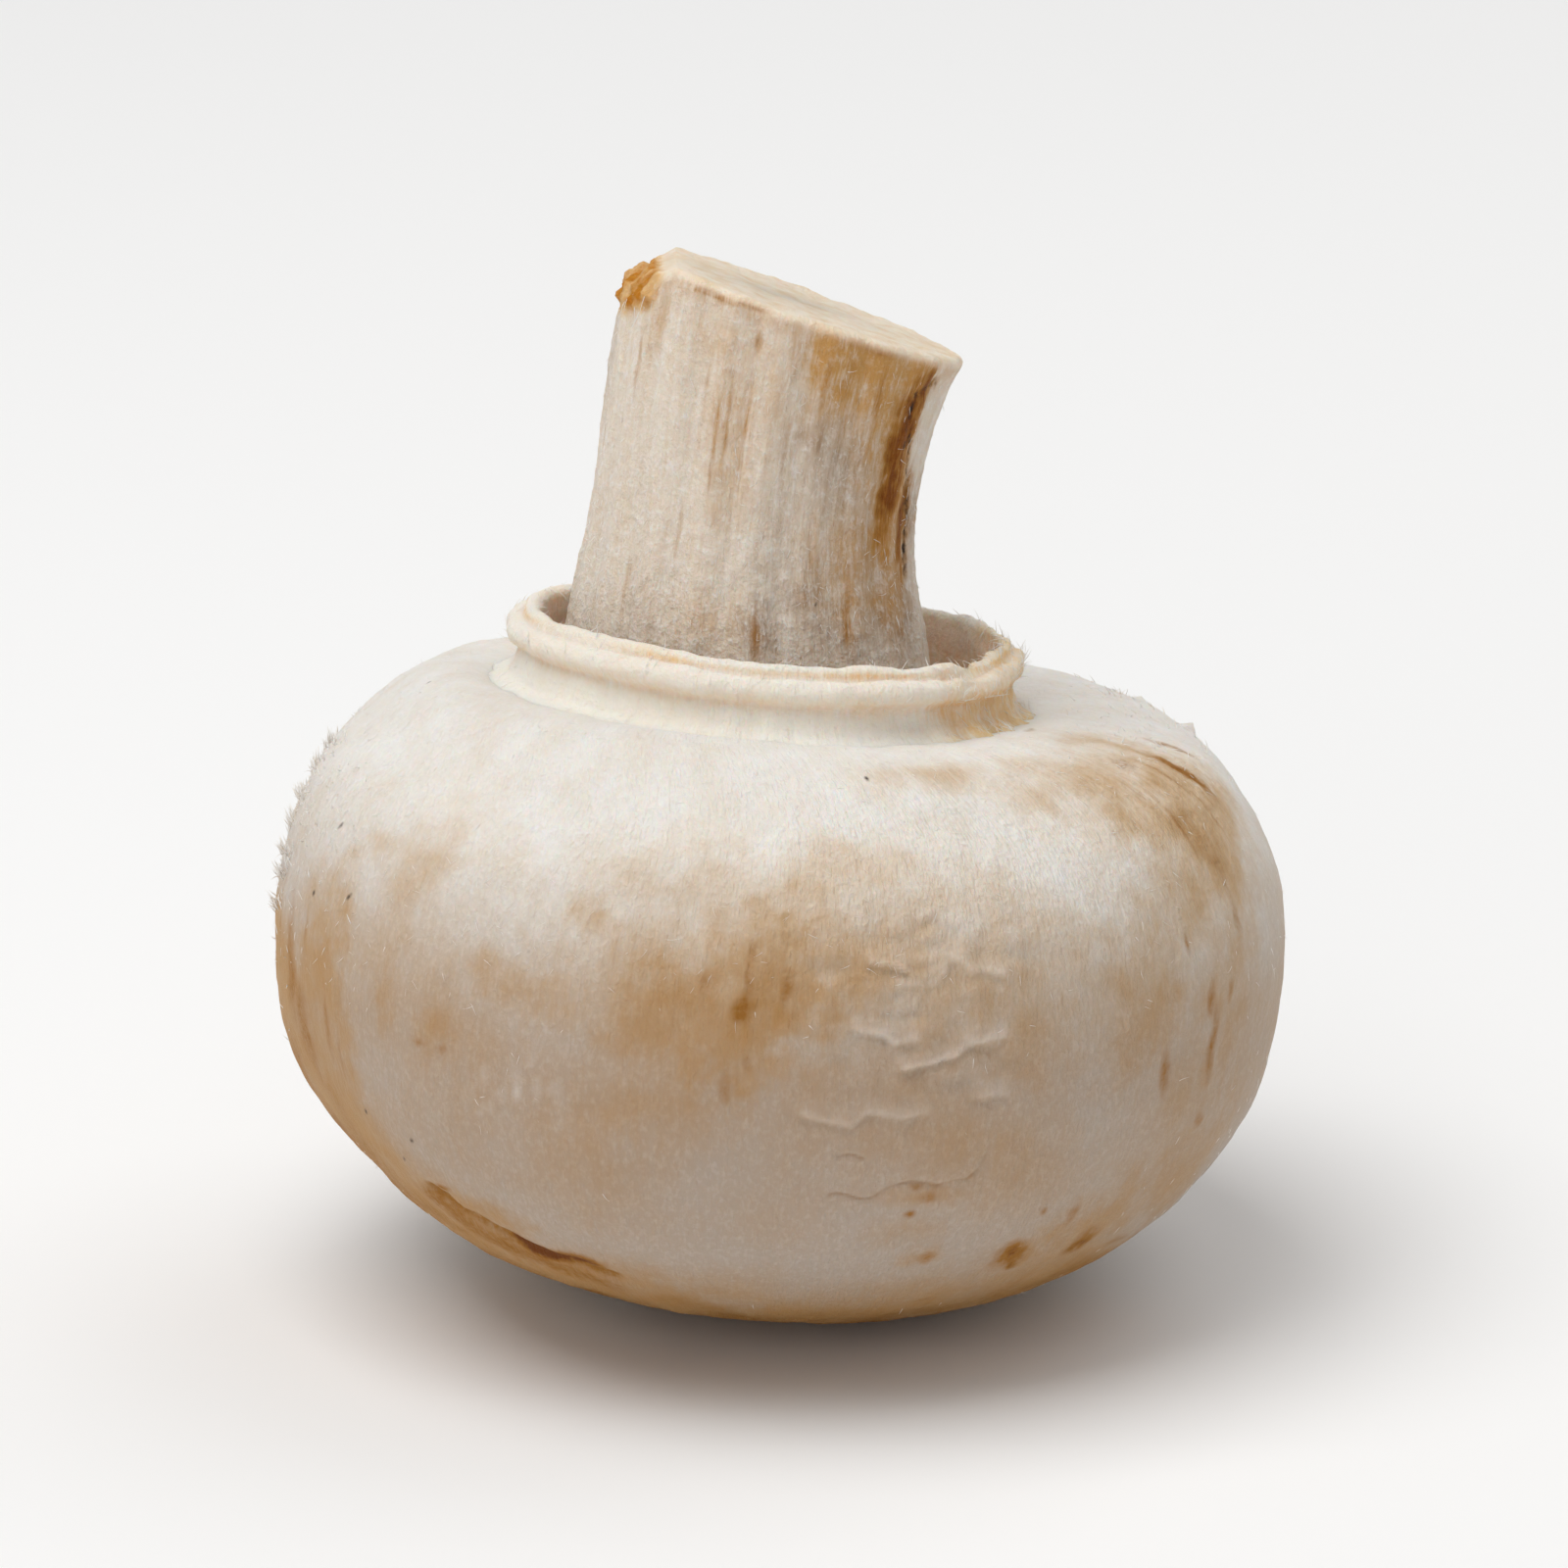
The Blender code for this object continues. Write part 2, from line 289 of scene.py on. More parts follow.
bpy.context.view_layer.objects.active = cap
facing = vectors_of(cap.data.vertex_normals) @ CAMERA_WAY > FINE_TILT
fine = in_boxes(photo_pixels(corners_of(cap)), facing, FINE_BOXES)
bpy.ops.object.mode_set(mode="EDIT")
bpy.ops.mesh.select_all(action="DESELECT")
bpy.ops.object.mode_set(mode="OBJECT")
for face in cap.data.polygons:
    face.select = all(fine[corner] for corner in face.vertices)
bpy.ops.object.mode_set(mode="EDIT")
bpy.ops.mesh.subdivide(number_cuts=2)
bpy.ops.object.mode_set(mode="OBJECT")
cap.data.shade_smooth()

# What marks and relief need of a skin: how far it tilts to the camera, 1 when square to it, and how the
# edges of marks waver
FACING_TILT = 0.02
TURNING_TILT = -0.15
SWAY_GRAINS = ((0.55, 210.0), (0.30, 800.0), (0.20, 2000.0))
SWAY_PLACES = ((6.0, 2.0, 8.0), (1.0, 5.0, 3.0))
WARP = 0.00022
WARP_SCALE = 900.0
WARP_PLACES = ((3.0, 1.0, 2.0), (9.0, 4.0, 6.0), (5.0, 8.0, 0.0))


class Skin:
    """The corners of a piece, with their places in the photograph and in the piece's own flow."""

    def __init__(self, piece, middle):
        flow = vectors_of(piece.data.attributes["flow"].data)
        self.points = corners_of(piece)
        self.normals = vectors_of(piece.data.vertex_normals)
        self.pixels = photo_pixels(self.points)
        self.tilt = self.normals @ CAMERA_WAY
        self.facing = self.tilt > FACING_TILT
        self.turn = np.arctan2(flow[:, 1], flow[:, 0])
        self.length = flow[:, 2]
        self.across = np.hypot(self.points[:, 0] - middle[0], self.points[:, 1] - middle[1]) * MM
        self.sway = [
            layered(self.points, [(share, scale, place) for share, scale in SWAY_GRAINS])
            for place in SWAY_PLACES
        ]
        shifts = [noise_at(self.points, WARP_SCALE, place) for place in WARP_PLACES]
        self.warped = self.points + WARP * np.stack(shifts, axis=1)

    def corner_at(self, pixel):
        """The corner that faces the camera nearest to a pixel of the photograph."""
        gap = np.hypot(self.pixels[:, 0] - pixel[0], self.pixels[:, 1] - pixel[1])
        gap[~self.facing] = np.inf
        return int(gap.argmin())

    def blot(self, corner, half_width, half_length):
        """A soft mark round a corner, 1 at its middle, sized across and along the fibres in millimetres."""
        turned = (self.turn - self.turn[corner] + math.pi) % (2.0 * math.pi) - math.pi
        sideways = turned * self.across[corner] / half_width + self.sway[0] - self.sway[0][corner]
        lengthways = (self.length - self.length[corner]) / half_length + self.sway[1] - self.sway[1][corner]
        return np.exp(-(sideways ** 2) - lengthways ** 2)

    def marked(self, marks):
        """The strongest of a table of marks at each corner."""
        blots = []
        for x, y, half_width, half_length, strength in marks:
            blots.append(strength * self.blot(self.corner_at((x, y)), half_width, half_length))
        return np.max(blots, axis=0)

    def strewn(self, count, corners, strengths, sizes):
        """The strongest of a number of marks by chance, whose middles are drawn from some corners."""
        blots = []
        for _ in range(count):
            strength = chance.uniform(*strengths)
            blots.append(strength * self.blot(chance.choice(corners), *chance.uniform(*sizes, 2)))
        return np.max(blots, axis=0)

    def near(self, x, y, reach_x, reach_y):
        """1 near a pixel of the photograph, fading out, and 0 where the surface has turned away."""
        gap = ((self.pixels[:, 0] - x) / reach_x) ** 2 + ((self.pixels[:, 1] - y) / reach_y) ** 2
        return np.exp(-gap) * (self.tilt > TURNING_TILT)

    def zones(self, zones):
        """Soft zones of the photograph added up: how strong, where, and how far each reaches."""
        return sum(strength * self.near(*place) for strength, *place in zones)

    def ridge(self, trail, half_width, down=0.0):
        """A soft wavering line, 1 at its middle, through pixels of the photograph that are moved down."""
        places = self.points[[self.corner_at((x, y + down)) for x, y in trail]]
        nearest = np.full(len(self.points), np.inf)
        for start, end in zip(places[:-1], places[1:]):
            run = end - start
            share = np.clip((self.warped - start) @ run / max(run @ run, 1e-12), 0.0, 1.0)
            nearest = np.minimum(nearest, np.linalg.norm(self.warped - start - share[:, None] * run, axis=1))
        return np.exp(-((nearest / half_width) ** 2))


# Wrinkles of the drying skin: raised folds with a hollow below each, and thin creases, as trails of
# photograph pixels, with dents and the cap's soft lumps
RAISED_TRAILS = (
    (0.85, ((993, 981), (998, 983), (1004, 985))),
    (0.80, ((1013, 985), (1021, 981), (1025, 985), (1034, 984))),
    (0.90, ((1002, 990), (1009, 989), (1014, 988), (1018, 983))),
    (0.75, ((1010, 990), (1007, 996))),
    (0.90, ((989, 1003), (995, 1004), (1000, 1008), (1007, 1005))),
    (1.00, ((1005, 1016), (1011, 1014), (1018, 1012), (1024, 1007), (1029, 1006), (1035, 1004))),
    (0.60, ((1028, 1024), (1035, 1023))),
    (0.55, ((972, 1030), (980, 1032), (987, 1033), (991, 1030), (996, 1031), (1003, 1031), (1010, 1030))),
    (0.55, ((1007, 968), (1013, 966), (1020, 970))),
)
CREASE_TRAILS = (
    ((980, 1056), (986, 1057), (992, 1057), (998, 1054), (1005, 1052), (1014, 1053), (1023, 1051),
     (1030, 1044)),
    ((982, 1043), (990, 1044)),
)
DENTS = (
    (996, 975, 1.0, 0.5), (1011, 976, 0.9, 0.5), (1028, 979, 0.9, 0.5), (1045, 980, 1.2, 0.5),
    (978, 984, 0.8, 0.4), (1001, 998, 0.9, 0.4), (1040, 1012, 1.1, 0.4), (985, 1012, 1.0, 0.4),
    (1022, 1020, 1.2, 0.4), (1067, 990, 0.9, 0.8), (1090, 985, 0.5, 1.2), (938, 965, 1.6, 0.9),
    (905, 1030, 1.8, 1.0),
)
FOLD_TRAIL = ((853, 1054), (862, 1061), (872, 1067), (882, 1072), (892, 1076), (902, 1079), (911, 1082))
FOLD_DARK_TRAIL = ((880, 1071), (888, 1075), (898, 1077), (903, 1078))
THORNS = ((1079, 897, 0.00024), (1094, 907, 0.00045), (1074, 1002, 0.00020))
THORN_RADIUS = 0.00028
BACK_WRINKLES = 26
BACK_WRINKLE_WIDTHS = (0.8, 1.8)
BACK_WRINKLE_LENGTH = 0.30
BACK_TILT = -0.25
CAP_LUMPS = (
    (0.00012, 260.0, (1.7, 4.1, 2.9)), (0.000065, 800.0, (5.1, 0.3, 7.7)),
    (0.000022, 2300.0, (2.1, 6.3, 0.7)),
)
FIBRES_ROUND = 34.0
FIBRES_ALONG = 0.25
FIBRE_HEIGHT = 0.000020
FINE_FIBRE_SCALE = (3.0, 3.0, 3.5)
FINE_FIBRE_HEIGHT = 0.000012
RIDGE_WIDTH = 0.00018
RIDGE_FOOT_WIDTH = 0.00046
RIDGE_FOOT_DOWN = -2.0
RIDGE_HEIGHT = 0.00014
HOLLOW_WIDTH = 0.00028
HOLLOW_DOWN = 2.6
HOLLOW_DEPTH = 0.00015
DENT_DEPTH = 0.00016
CREASE_WIDTH = 0.00013
CREASE_DEPTH = 0.00011
CREASED_ZONES = ((1.0, 1010, 988, 34, 20), (0.8, 1018, 1012, 26, 12), (0.7, 990, 1032, 26, 8))
CREASED_HEIGHT = 0.00016
FOLD_WIDTH = 0.00048
FOLD_DEPTH = 0.00024
chance = np.random.default_rng(11)
skin = Skin(cap, CAP_PLACE)
hidden_cap = np.flatnonzero(~skin.facing & (skin.length > 3.0) & (skin.length < 40.0))
fibre_place = along_fibres(skin.turn, skin.length, FIBRES_ROUND, FIBRES_ALONG)
fine_place = fibre_place * np.array(FINE_FIBRE_SCALE)
height = layered(skin.points, CAP_LUMPS)
fibres = FIBRE_HEIGHT * noise_at(fibre_place, 1.0, (0.4, 9.2, 3.3))
height += fibres + FINE_FIBRE_HEIGHT * noise_at(fine_place, 1.0)
raised = np.zeros(len(skin.points))
sunk = np.zeros(len(skin.points))
for strength, trail in RAISED_TRAILS:
    crest = skin.ridge(trail, RIDGE_WIDTH) + 0.5 * skin.ridge(trail, RIDGE_FOOT_WIDTH, RIDGE_FOOT_DOWN)
    raised = np.maximum(raised, strength * crest)
    sunk = np.maximum(sunk, strength * skin.ridge(trail, HOLLOW_WIDTH, HOLLOW_DOWN))
back_cap = np.flatnonzero((skin.tilt < BACK_TILT) & (skin.length > 6.0) & (skin.length < 30.0))
for _ in range(BACK_WRINKLES):
    corner = chance.choice(back_cap)
    raised = np.maximum(raised, skin.blot(corner, chance.uniform(*BACK_WRINKLE_WIDTHS), BACK_WRINKLE_LENGTH))
uneven = 0.85 + 0.75 * noise_at(skin.points, 560.0, (8.0, 1.0, 4.0)) + 0.35 * noise_at(skin.points, 1900.0)
height += (RIDGE_HEIGHT * raised - HOLLOW_DEPTH * sunk) * np.clip(uneven, 0.1, 2.0)
crumpled = noise_at(skin.points, (900.0, 900.0, 1500.0), (2.0, 5.0, 1.0))
height += CREASED_HEIGHT * skin.zones(CREASED_ZONES) * crumpled
for x, y, half_width, half_length in DENTS:
    height -= DENT_DEPTH * skin.blot(skin.corner_at((x, y)), half_width, half_length)
crease = np.zeros(len(skin.points))
for trail in CREASE_TRAILS:
    crease = np.maximum(crease, skin.ridge(trail, CREASE_WIDTH))
fold = skin.ridge(FOLD_TRAIL, FOLD_WIDTH)
height -= CREASE_DEPTH * crease + FOLD_DEPTH * fold
for x, y, rise in THORNS:
    gap = np.linalg.norm(skin.points - skin.points[skin.corner_at((x, y))], axis=1)
    height += rise * np.exp(-((gap / THORN_RADIUS) ** 1.6))
points = skin.points + skin.normals * height[:, None]
points[:, 2] = np.maximum(points[:, 2], 0.0)
move_corners(cap, points)

# Marks of the cap: where in the photograph, half width and half length in millimetres, strength
TAN_MARKS = (
    (938, 996, 5.4, 3.4, 1.40), (920, 999, 3.2, 2.6, 1.10), (956, 988, 2.8, 3.2, 1.30),
    (992, 984, 6.0, 3.6, 0.78), (1030, 998, 8.0, 5.0, 0.60), (846, 960, 2.2, 3.6, 0.62),
    (851, 947, 2.6, 0.9, 0.66), (875, 987, 3.2, 1.5, 0.80), (853, 1004, 2.0, 1.6, 0.80),
    (838, 995, 1.2, 3.0, 0.70), (1094, 933, 4.2, 3.6, 1.35), (1104, 950, 2.6, 4.0, 1.20),
    (1074, 931, 4.2, 3.0, 0.90), (1052, 924, 4.2, 2.2, 0.68), (1018, 921, 3.0, 1.0, 0.62),
    (985, 921, 2.2, 0.8, 0.62), (1090, 958, 3.0, 3.0, 0.85), (1110, 985, 3.4, 6.0, 0.72),
    (1085, 990, 4.6, 5.0, 0.74), (1066, 1066, 3.6, 2.6, 0.95), (1040, 1074, 2.2, 1.8, 1.20),
    (1090, 1050, 3.0, 4.0, 0.75), (815, 990, 2.4, 5.0, 1.40), (822, 1003, 2.2, 4.0, 0.95),
    (817, 968, 2.4, 3.0, 0.75), (888, 1077, 3.4, 1.5, 1.70), (864, 1063, 3.2, 1.5, 1.45),
    (905, 1082, 3.4, 1.3, 1.40), (838, 1045, 3.0, 2.0, 0.95), (1010, 1056, 2.0, 0.8, 0.70),
    (1010, 1075, 1.0, 1.0, 0.70), (946, 1024, 0.8, 1.2, 0.60), (870, 1035, 1.6, 1.0, 0.40),
    (1003, 1068, 2.4, 1.2, 0.40), (985, 953, 6.5, 2.0, 0.42), (925, 958, 4.0, 1.6, 0.40),
)
BROWN_MARKS = (
    (951, 998, 0.42, 0.58, 1.08), (952, 994, 0.24, 0.50, 0.75), (954, 988, 0.20, 0.9, 0.75),
    (955, 979, 0.20, 0.6, 0.60), (940, 988, 0.22, 0.8, 0.60), (966, 990, 0.26, 1.0, 0.62),
    (946, 1023, 0.30, 0.8, 0.60), (953, 1014, 0.22, 0.5, 0.50), (849, 1008, 0.40, 0.20, 0.60),
    (856, 1010, 0.30, 0.30, 0.70), (1101, 995, 0.32, 1.0, 0.80), (1102, 1008, 0.34, 1.6, 0.85),
    (1086, 1016, 0.38, 1.2, 0.85), (1094, 976, 0.22, 0.6, 0.75), (1097, 1032, 0.40, 0.5, 0.65),
    (1107, 990, 0.3, 0.6, 0.6), (1007, 1053, 0.40, 0.25, 0.70), (1011, 1057, 0.40, 0.35, 0.70),
    (1005, 1062, 0.28, 0.25, 0.80), (1010, 1076, 0.45, 0.60, 0.75), (1038, 1074, 0.95, 1.10, 1.45),
    (1037, 1078, 0.40, 0.40, 1.60), (1057, 1062, 0.34, 0.7, 0.75), (1058, 1072, 0.65, 0.95, 1.30),
    (1048, 1061, 0.22, 0.3, 0.7), (891, 1076, 1.50, 0.50, 1.50), (902, 1078, 0.90, 0.36, 1.30),
    (877, 1071, 1.40, 0.30, 0.90), (856, 1054, 0.45, 0.22, 1.20), (1010, 1089, 0.50, 0.30, 0.60),
    (1071, 1070, 0.90, 0.40, 0.70), (1043, 908, 0.60, 0.22, 0.65), (1074, 919, 0.5, 0.5, 0.70),
    (1103, 949, 0.4, 0.5, 0.50), (1096, 924, 0.45, 1.50, 1.30), (1090, 914, 0.40, 0.9, 0.75),
    (1106, 957, 0.3, 1.2, 0.6), (1110, 968, 0.3, 1.5, 0.6), (1084, 921, 0.18, 1.6, 0.60),
    (1079, 930, 0.16, 1.3, 0.50), (1090, 937, 0.18, 1.8, 0.60), (1100, 934, 0.16, 1.6, 0.65),
    (808, 985, 0.7, 3.0, 0.85), (813, 1004, 1.1, 2.4, 0.95), (805, 970, 0.25, 2.0, 0.7),
    (816, 1017, 0.25, 1.0, 0.7), (819, 1001, 0.25, 1.4, 0.75), (812, 972, 0.16, 1.4, 0.6),
    (824, 1010, 0.2, 1.0, 0.6),
)
DOTS = ((823, 938), (815, 960), (826, 960), (852, 893), (832, 1029), (846, 1038), (844, 1044), (991, 923))
DOT_RADIUS = 0.11
DOT_STRENGTH = 0.62
# Darker and warmer towards the crown, from UNDER_START mm along the skin over UNDER_REACH mm: partly the
# skin's own warmer tone, partly painted shade on the lower half of the cap.
UNDER_START = 6.0
UNDER_REACH = 12.5
BACK_TANS = 30
BACK_BROWNS = 80
BACK_DOTS = 14
BELT_TAN = 0.42
BELT_LENGTH = 19.0
BELT_REACH = 8.0
CROWN_TAN = 0.62
CROWN_REACH = 0.0030
# A tan and brown band along the cap's outline at the left and bottom, where the skin turns away from the
# camera: partly bruising, partly painted shade.
RIM_FRONT_REACH = 0.35
RIM_BACK_REACH = 0.17
RIM_TOP = 0.0205
RIM_TOP_FADE = 0.005
RIM_RIGHT_PIXEL = 1092.0
RIM_RIGHT_FADE = 40.0
LOW_RIM_TOP = 0.0165
LOW_RIM_FADE = 0.006
RIM_BRUISE_SHADE_TAN = 2.5
RIM_BRUISE_SHADE_BROWN = 0.95
FOLD_BROWN = 1.05
FOLD_BROWN_WIDTH = 0.0009
FOLD_DARK = 2.8
FOLD_DARK_WIDTH = 0.00055

belt = BELT_TAN * np.exp(-(((skin.length - BELT_LENGTH) / BELT_REACH) ** 2))
tan = belt * (1.0 + 0.9 * noise_at(skin.points, 170.0, (4.0, 4.0, 9.0)))
tan = np.maximum(tan, CROWN_TAN * np.exp(-((skin.points[:, 2] / CROWN_REACH) ** 2)))
tan = np.maximum(tan, skin.marked(TAN_MARKS))
tan = np.maximum(tan, skin.strewn(BACK_TANS, hidden_cap, (0.35, 0.95), (1.5, 4.5)))
# The outline band: partly bruising, partly painted shade where the skin turns away from the camera, browner
# low down.
ragged_tilt = skin.tilt + layered(skin.points, ((0.20, 150.0, (6.0, 1.0, 3.0)), (0.08, 520.0, NO_PLACE)))
in_front = skin.tilt / RIM_FRONT_REACH
behind = np.minimum(ragged_tilt, 0.0) / RIM_BACK_REACH
away = np.exp(-(np.where(skin.tilt > 0.0, in_front, behind) ** 2))
sides = eased((RIM_TOP - skin.points[:, 2]) / RIM_TOP_FADE)
sides *= eased((RIM_RIGHT_PIXEL - skin.pixels[:, 0]) / RIM_RIGHT_FADE)
rim_bruise_and_shade = away * sides * (0.95 + 0.50 * noise_at(skin.points, 260.0, (2.0, 2.0, 7.0)))
tan = np.maximum(tan, RIM_BRUISE_SHADE_TAN * rim_bruise_and_shade)
brown = np.maximum(fold * 1.1, crease * 0.45)
low_rim_bruise_and_shade = away ** 2 * sides * eased((LOW_RIM_TOP - skin.points[:, 2]) / LOW_RIM_FADE)
brown = np.maximum(brown, RIM_BRUISE_SHADE_BROWN * low_rim_bruise_and_shade * (0.8 + 0.7 * noise_at(skin.points, 420.0, (3.0, 9.0, 1.0))))
brown = np.maximum(brown, FOLD_BROWN * skin.ridge(FOLD_TRAIL, FOLD_BROWN_WIDTH, down=3.0))
brown = np.maximum(brown, FOLD_DARK * skin.ridge(FOLD_DARK_TRAIL, FOLD_DARK_WIDTH))
brown = np.maximum(brown, skin.marked(BROWN_MARKS))
for _ in range(BACK_BROWNS):
    size = chance.uniform(0.2, 0.5)
    longer = chance.uniform(1.0, 4.5)
    strength = chance.uniform(0.55, 0.95)
    brown = np.maximum(brown, strength * skin.blot(chance.choice(hidden_cap), size, size * longer))
dark = np.zeros(len(skin.points))
for corner in [skin.corner_at(pixel) for pixel in DOTS] + list(chance.choice(hidden_cap, BACK_DOTS)):
    dark = np.maximum(dark, skin.blot(corner, DOT_RADIUS, DOT_RADIUS))
paint(cap, "tan", tan)
paint(cap, "brown", brown)
paint(cap, "dark", DOT_STRENGTH * dark)
# The under mask: painted shade on the lower half of the cap, with the skin's own warmer tone there.
paint(cap, "under", eased((skin.length - UNDER_START) / UNDER_REACH))
fluffed = np.maximum(skin.near(878, 1022, 15, 10), 0.8 * skin.near(890, 970, 22, 16))
flecks = 1.6 * fluffed * np.clip(noise_at(fine_place, 1.3, (3.0, 7.0, 1.0)), 0.0, 1.0)
# Paler on the wrinkle crests and less so in the hollows below them: painted highlight. The flecks are the
# skin's own white fuzz.
paint(cap, "pale", 0.7 * np.clip(raised - 0.3 * sunk, 0.0, 1.0) + flecks)


def new_group(name, inputs, outputs):
    """An empty shader group with its named sockets."""
    group = bpy.data.node_groups.new(name, "ShaderNodeTree")
    for label, kind in inputs.items():
        group.interface.new_socket(label, in_out="INPUT", socket_type="NodeSocket" + kind)
    for label, kind in outputs.items():
        group.interface.new_socket(label, in_out="OUTPUT", socket_type="NodeSocket" + kind)
    source = group.nodes.new("NodeGroupInput")
    sink = group.nodes.new("NodeGroupOutput")
    return group, source, sink


def add_node(tree, kind, settings=(), inputs=()):
    """A shader node with its settings and with its inputs set to values or linked from outputs."""
    made = tree.nodes.new(kind)
    for name, value in dict(settings).items():
        setattr(made, name, value)
    for name, value in dict(inputs).items():
        if isinstance(value, bpy.types.NodeSocket):
            tree.links.new(value, made.inputs[name])
        else:
            made.inputs[name].default_value = value
    return made


def math_node(tree, operation, first, second=0.0, third=0.0):
    """One sum of two or three numbers or outputs."""
    made = add_node(tree, "ShaderNodeMath", {"operation": operation}, {0: first, 1: second, 2: third})
    return made.outputs[0]


def added(tree, first, second):
    """Two numbers added up."""
    return math_node(tree, "ADD", first, second)


def scaled(tree, value, gain, shift=0.0):
    """A number times a gain and moved by a shift."""
    return math_node(tree, "MULTIPLY_ADD", value, gain, shift)


def centred(tree, value, gain):
    """A number that wanders round a half, spread by a gain round 0."""
    return scaled(tree, value, gain, -gain / 2.0)


def limited(tree, value):
    """A number kept between 0 and 1."""
    return add_node(tree, "ShaderNodeClamp", inputs={0: value}).outputs[0]


def mix_colours(tree, share, first, second):
    """Two colours mixed by a share."""
    made = add_node(tree, "ShaderNodeMix", {"data_type": "RGBA"}, {0: share, 6: first, 7: second})
    return made.outputs[2]


# Fibre group: fine threads along the flow, which is the turn round the axis and the length along the skin
fibre_group, source, sink = new_group(
    "fibre", {"Flow": "Vector", "Across": "Float", "Along": "Float", "Place": "Float"}, {"Thread": "Float"}
)
split = add_node(fibre_group, "ShaderNodeSeparateXYZ", inputs={0: source.outputs["Flow"]})
joined = add_node(fibre_group, "ShaderNodeCombineXYZ", inputs={
    0: math_node(fibre_group, "MULTIPLY", split.outputs[0], source.outputs["Across"]),
    1: math_node(fibre_group, "MULTIPLY", split.outputs[1], source.outputs["Across"]),
    2: math_node(fibre_group, "MULTIPLY", split.outputs[2], source.outputs["Along"]),
})
shifted = add_node(fibre_group, "ShaderNodeVectorMath", {"operation": "ADD"}, {
    0: joined.outputs[0], 1: source.outputs["Place"],
})
threads = add_node(fibre_group, "ShaderNodeTexNoise", inputs={
    "Vector": shifted.outputs[0], "Scale": 1.0, "Detail": 3.0, "Roughness": 0.6,
})
fibre_group.links.new(threads.outputs[0], sink.inputs["Thread"])

# Stain group: a colour laid over another where a mask passes a ragged limit
stain_group, source, sink = new_group(
    "stain", {
        "Under": "Color", "Stain": "Color", "Mask": "Float", "Ragged": "Float", "Limit": "Float",
        "Softness": "Float",
    }, {"Colour": "Color"}
)
torn = math_node(
    stain_group, "MULTIPLY_ADD", source.outputs["Ragged"], source.outputs["Mask"], source.outputs["Mask"]
)
low_limit = math_node(stain_group, "SUBTRACT", source.outputs["Limit"], source.outputs["Softness"])
high_limit = math_node(stain_group, "ADD", source.outputs["Limit"], source.outputs["Softness"])
ramp = add_node(stain_group, "ShaderNodeMapRange", inputs={
    "Value": torn, "From Min": low_limit, "From Max": high_limit,
})
stained = mix_colours(stain_group, ramp.outputs[0], source.outputs["Under"], source.outputs["Stain"])
stain_group.links.new(stained, sink.inputs["Colour"])


FLESH_SHINE = 0.16
GLOW_SHARE = 0.6
GLOW_RADIUS = (1.0, 0.62, 0.40)


def new_material(name, roughness, glow_share, glow_reach):
    """A flesh material: light sinks into it, and comes out again nearby."""
    material = bpy.data.materials.new(name)
    material.use_nodes = True
    shader = material.node_tree.nodes["Principled BSDF"]
    shader.inputs["Roughness"].default_value = roughness
    shader.inputs["Subsurface Weight"].default_value = glow_share
    shader.inputs["Subsurface Radius"].default_value = GLOW_RADIUS
    shader.inputs["Subsurface Scale"].default_value = glow_reach
    shader.inputs["Specular IOR Level"].default_value = FLESH_SHINE
    return material, material.node_tree, shader


def attribute(tree, name, output="Fac"):
    """What paint stored, as an output."""
    return add_node(tree, "ShaderNodeAttribute", {"attribute_name": name}).outputs[output]


def fibre(tree, across, along, place):
    """The fibre group, placed in a material with its own values."""
    made = add_node(tree, "ShaderNodeGroup", {"node_tree": fibre_group}, {
        "Flow": attribute(tree, "flow", "Vector"), "Across": across, "Along": along, "Place": place,
    })
    return made.outputs["Thread"]


def stain(tree, under, colour, mask, ragged, limit, softness):
    """The stain group, placed in a material with its own values, where paint stored the mask."""
    made = add_node(tree, "ShaderNodeGroup", {"node_tree": stain_group}, {
        "Under": under, "Stain": colour, "Mask": attribute(tree, mask), "Ragged": ragged, "Limit": limit,
        "Softness": softness,
    })
    return made.outputs["Colour"]


def grain_noise(tree, scale, detail=2.0):
    """Plain noise on Object coordinates, in grains of about one over scale metres."""
    coordinates = add_node(tree, "ShaderNodeTexCoord").outputs["Object"]
    made = add_node(tree, "ShaderNodeTexNoise", inputs={
        "Vector": coordinates, "Scale": scale, "Detail": detail, "Roughness": 0.55,
    })
    return made.outputs[0]


def whitened(tree, colour, threads, share):
    """A colour under a frost of white threads."""
    return mix_colours(tree, math_node(tree, "MULTIPLY", limited(tree, threads), share), colour, WHITE_THREAD)


def dress(piece, material, shader, colour, relief, strength, depth):
    """Gives a piece its material, which gets its colour, and its relief as a bump."""
    tree = material.node_tree
    tree.links.new(colour, shader.inputs["Base Color"])
    bump = add_node(tree, "ShaderNodeBump", inputs={
        "Strength": strength, "Distance": depth, "Height": relief,
    })
    tree.links.new(bump.outputs[0], shader.inputs["Normal"])
    piece.data.materials.append(material)


SKIN_GLOW = 0.0006
SKIN_DEPTH = 0.00014
CREAM = (0.88, 0.86, 0.825, 1.0)
WARM_CREAM = (0.82, 0.755, 0.67, 1.0)
# Darker, warmer cream towards the crown: partly the skin's own tone, partly painted shade.
UNDER_SHADE_CREAM = (0.475, 0.395, 0.33, 1.0)
WHITE_THREAD = (0.93, 0.91, 0.88, 1.0)
GOLDEN_TINT = (0.95, 0.80, 0.62, 1.0)
TAN = (0.455, 0.259, 0.104, 1.0)
BROWN = (0.34, 0.150, 0.025, 1.0)
DEEP_BROWN = (0.17, 0.048, 0.004, 1.0)
SOIL = (0.035, 0.020, 0.012, 1.0)

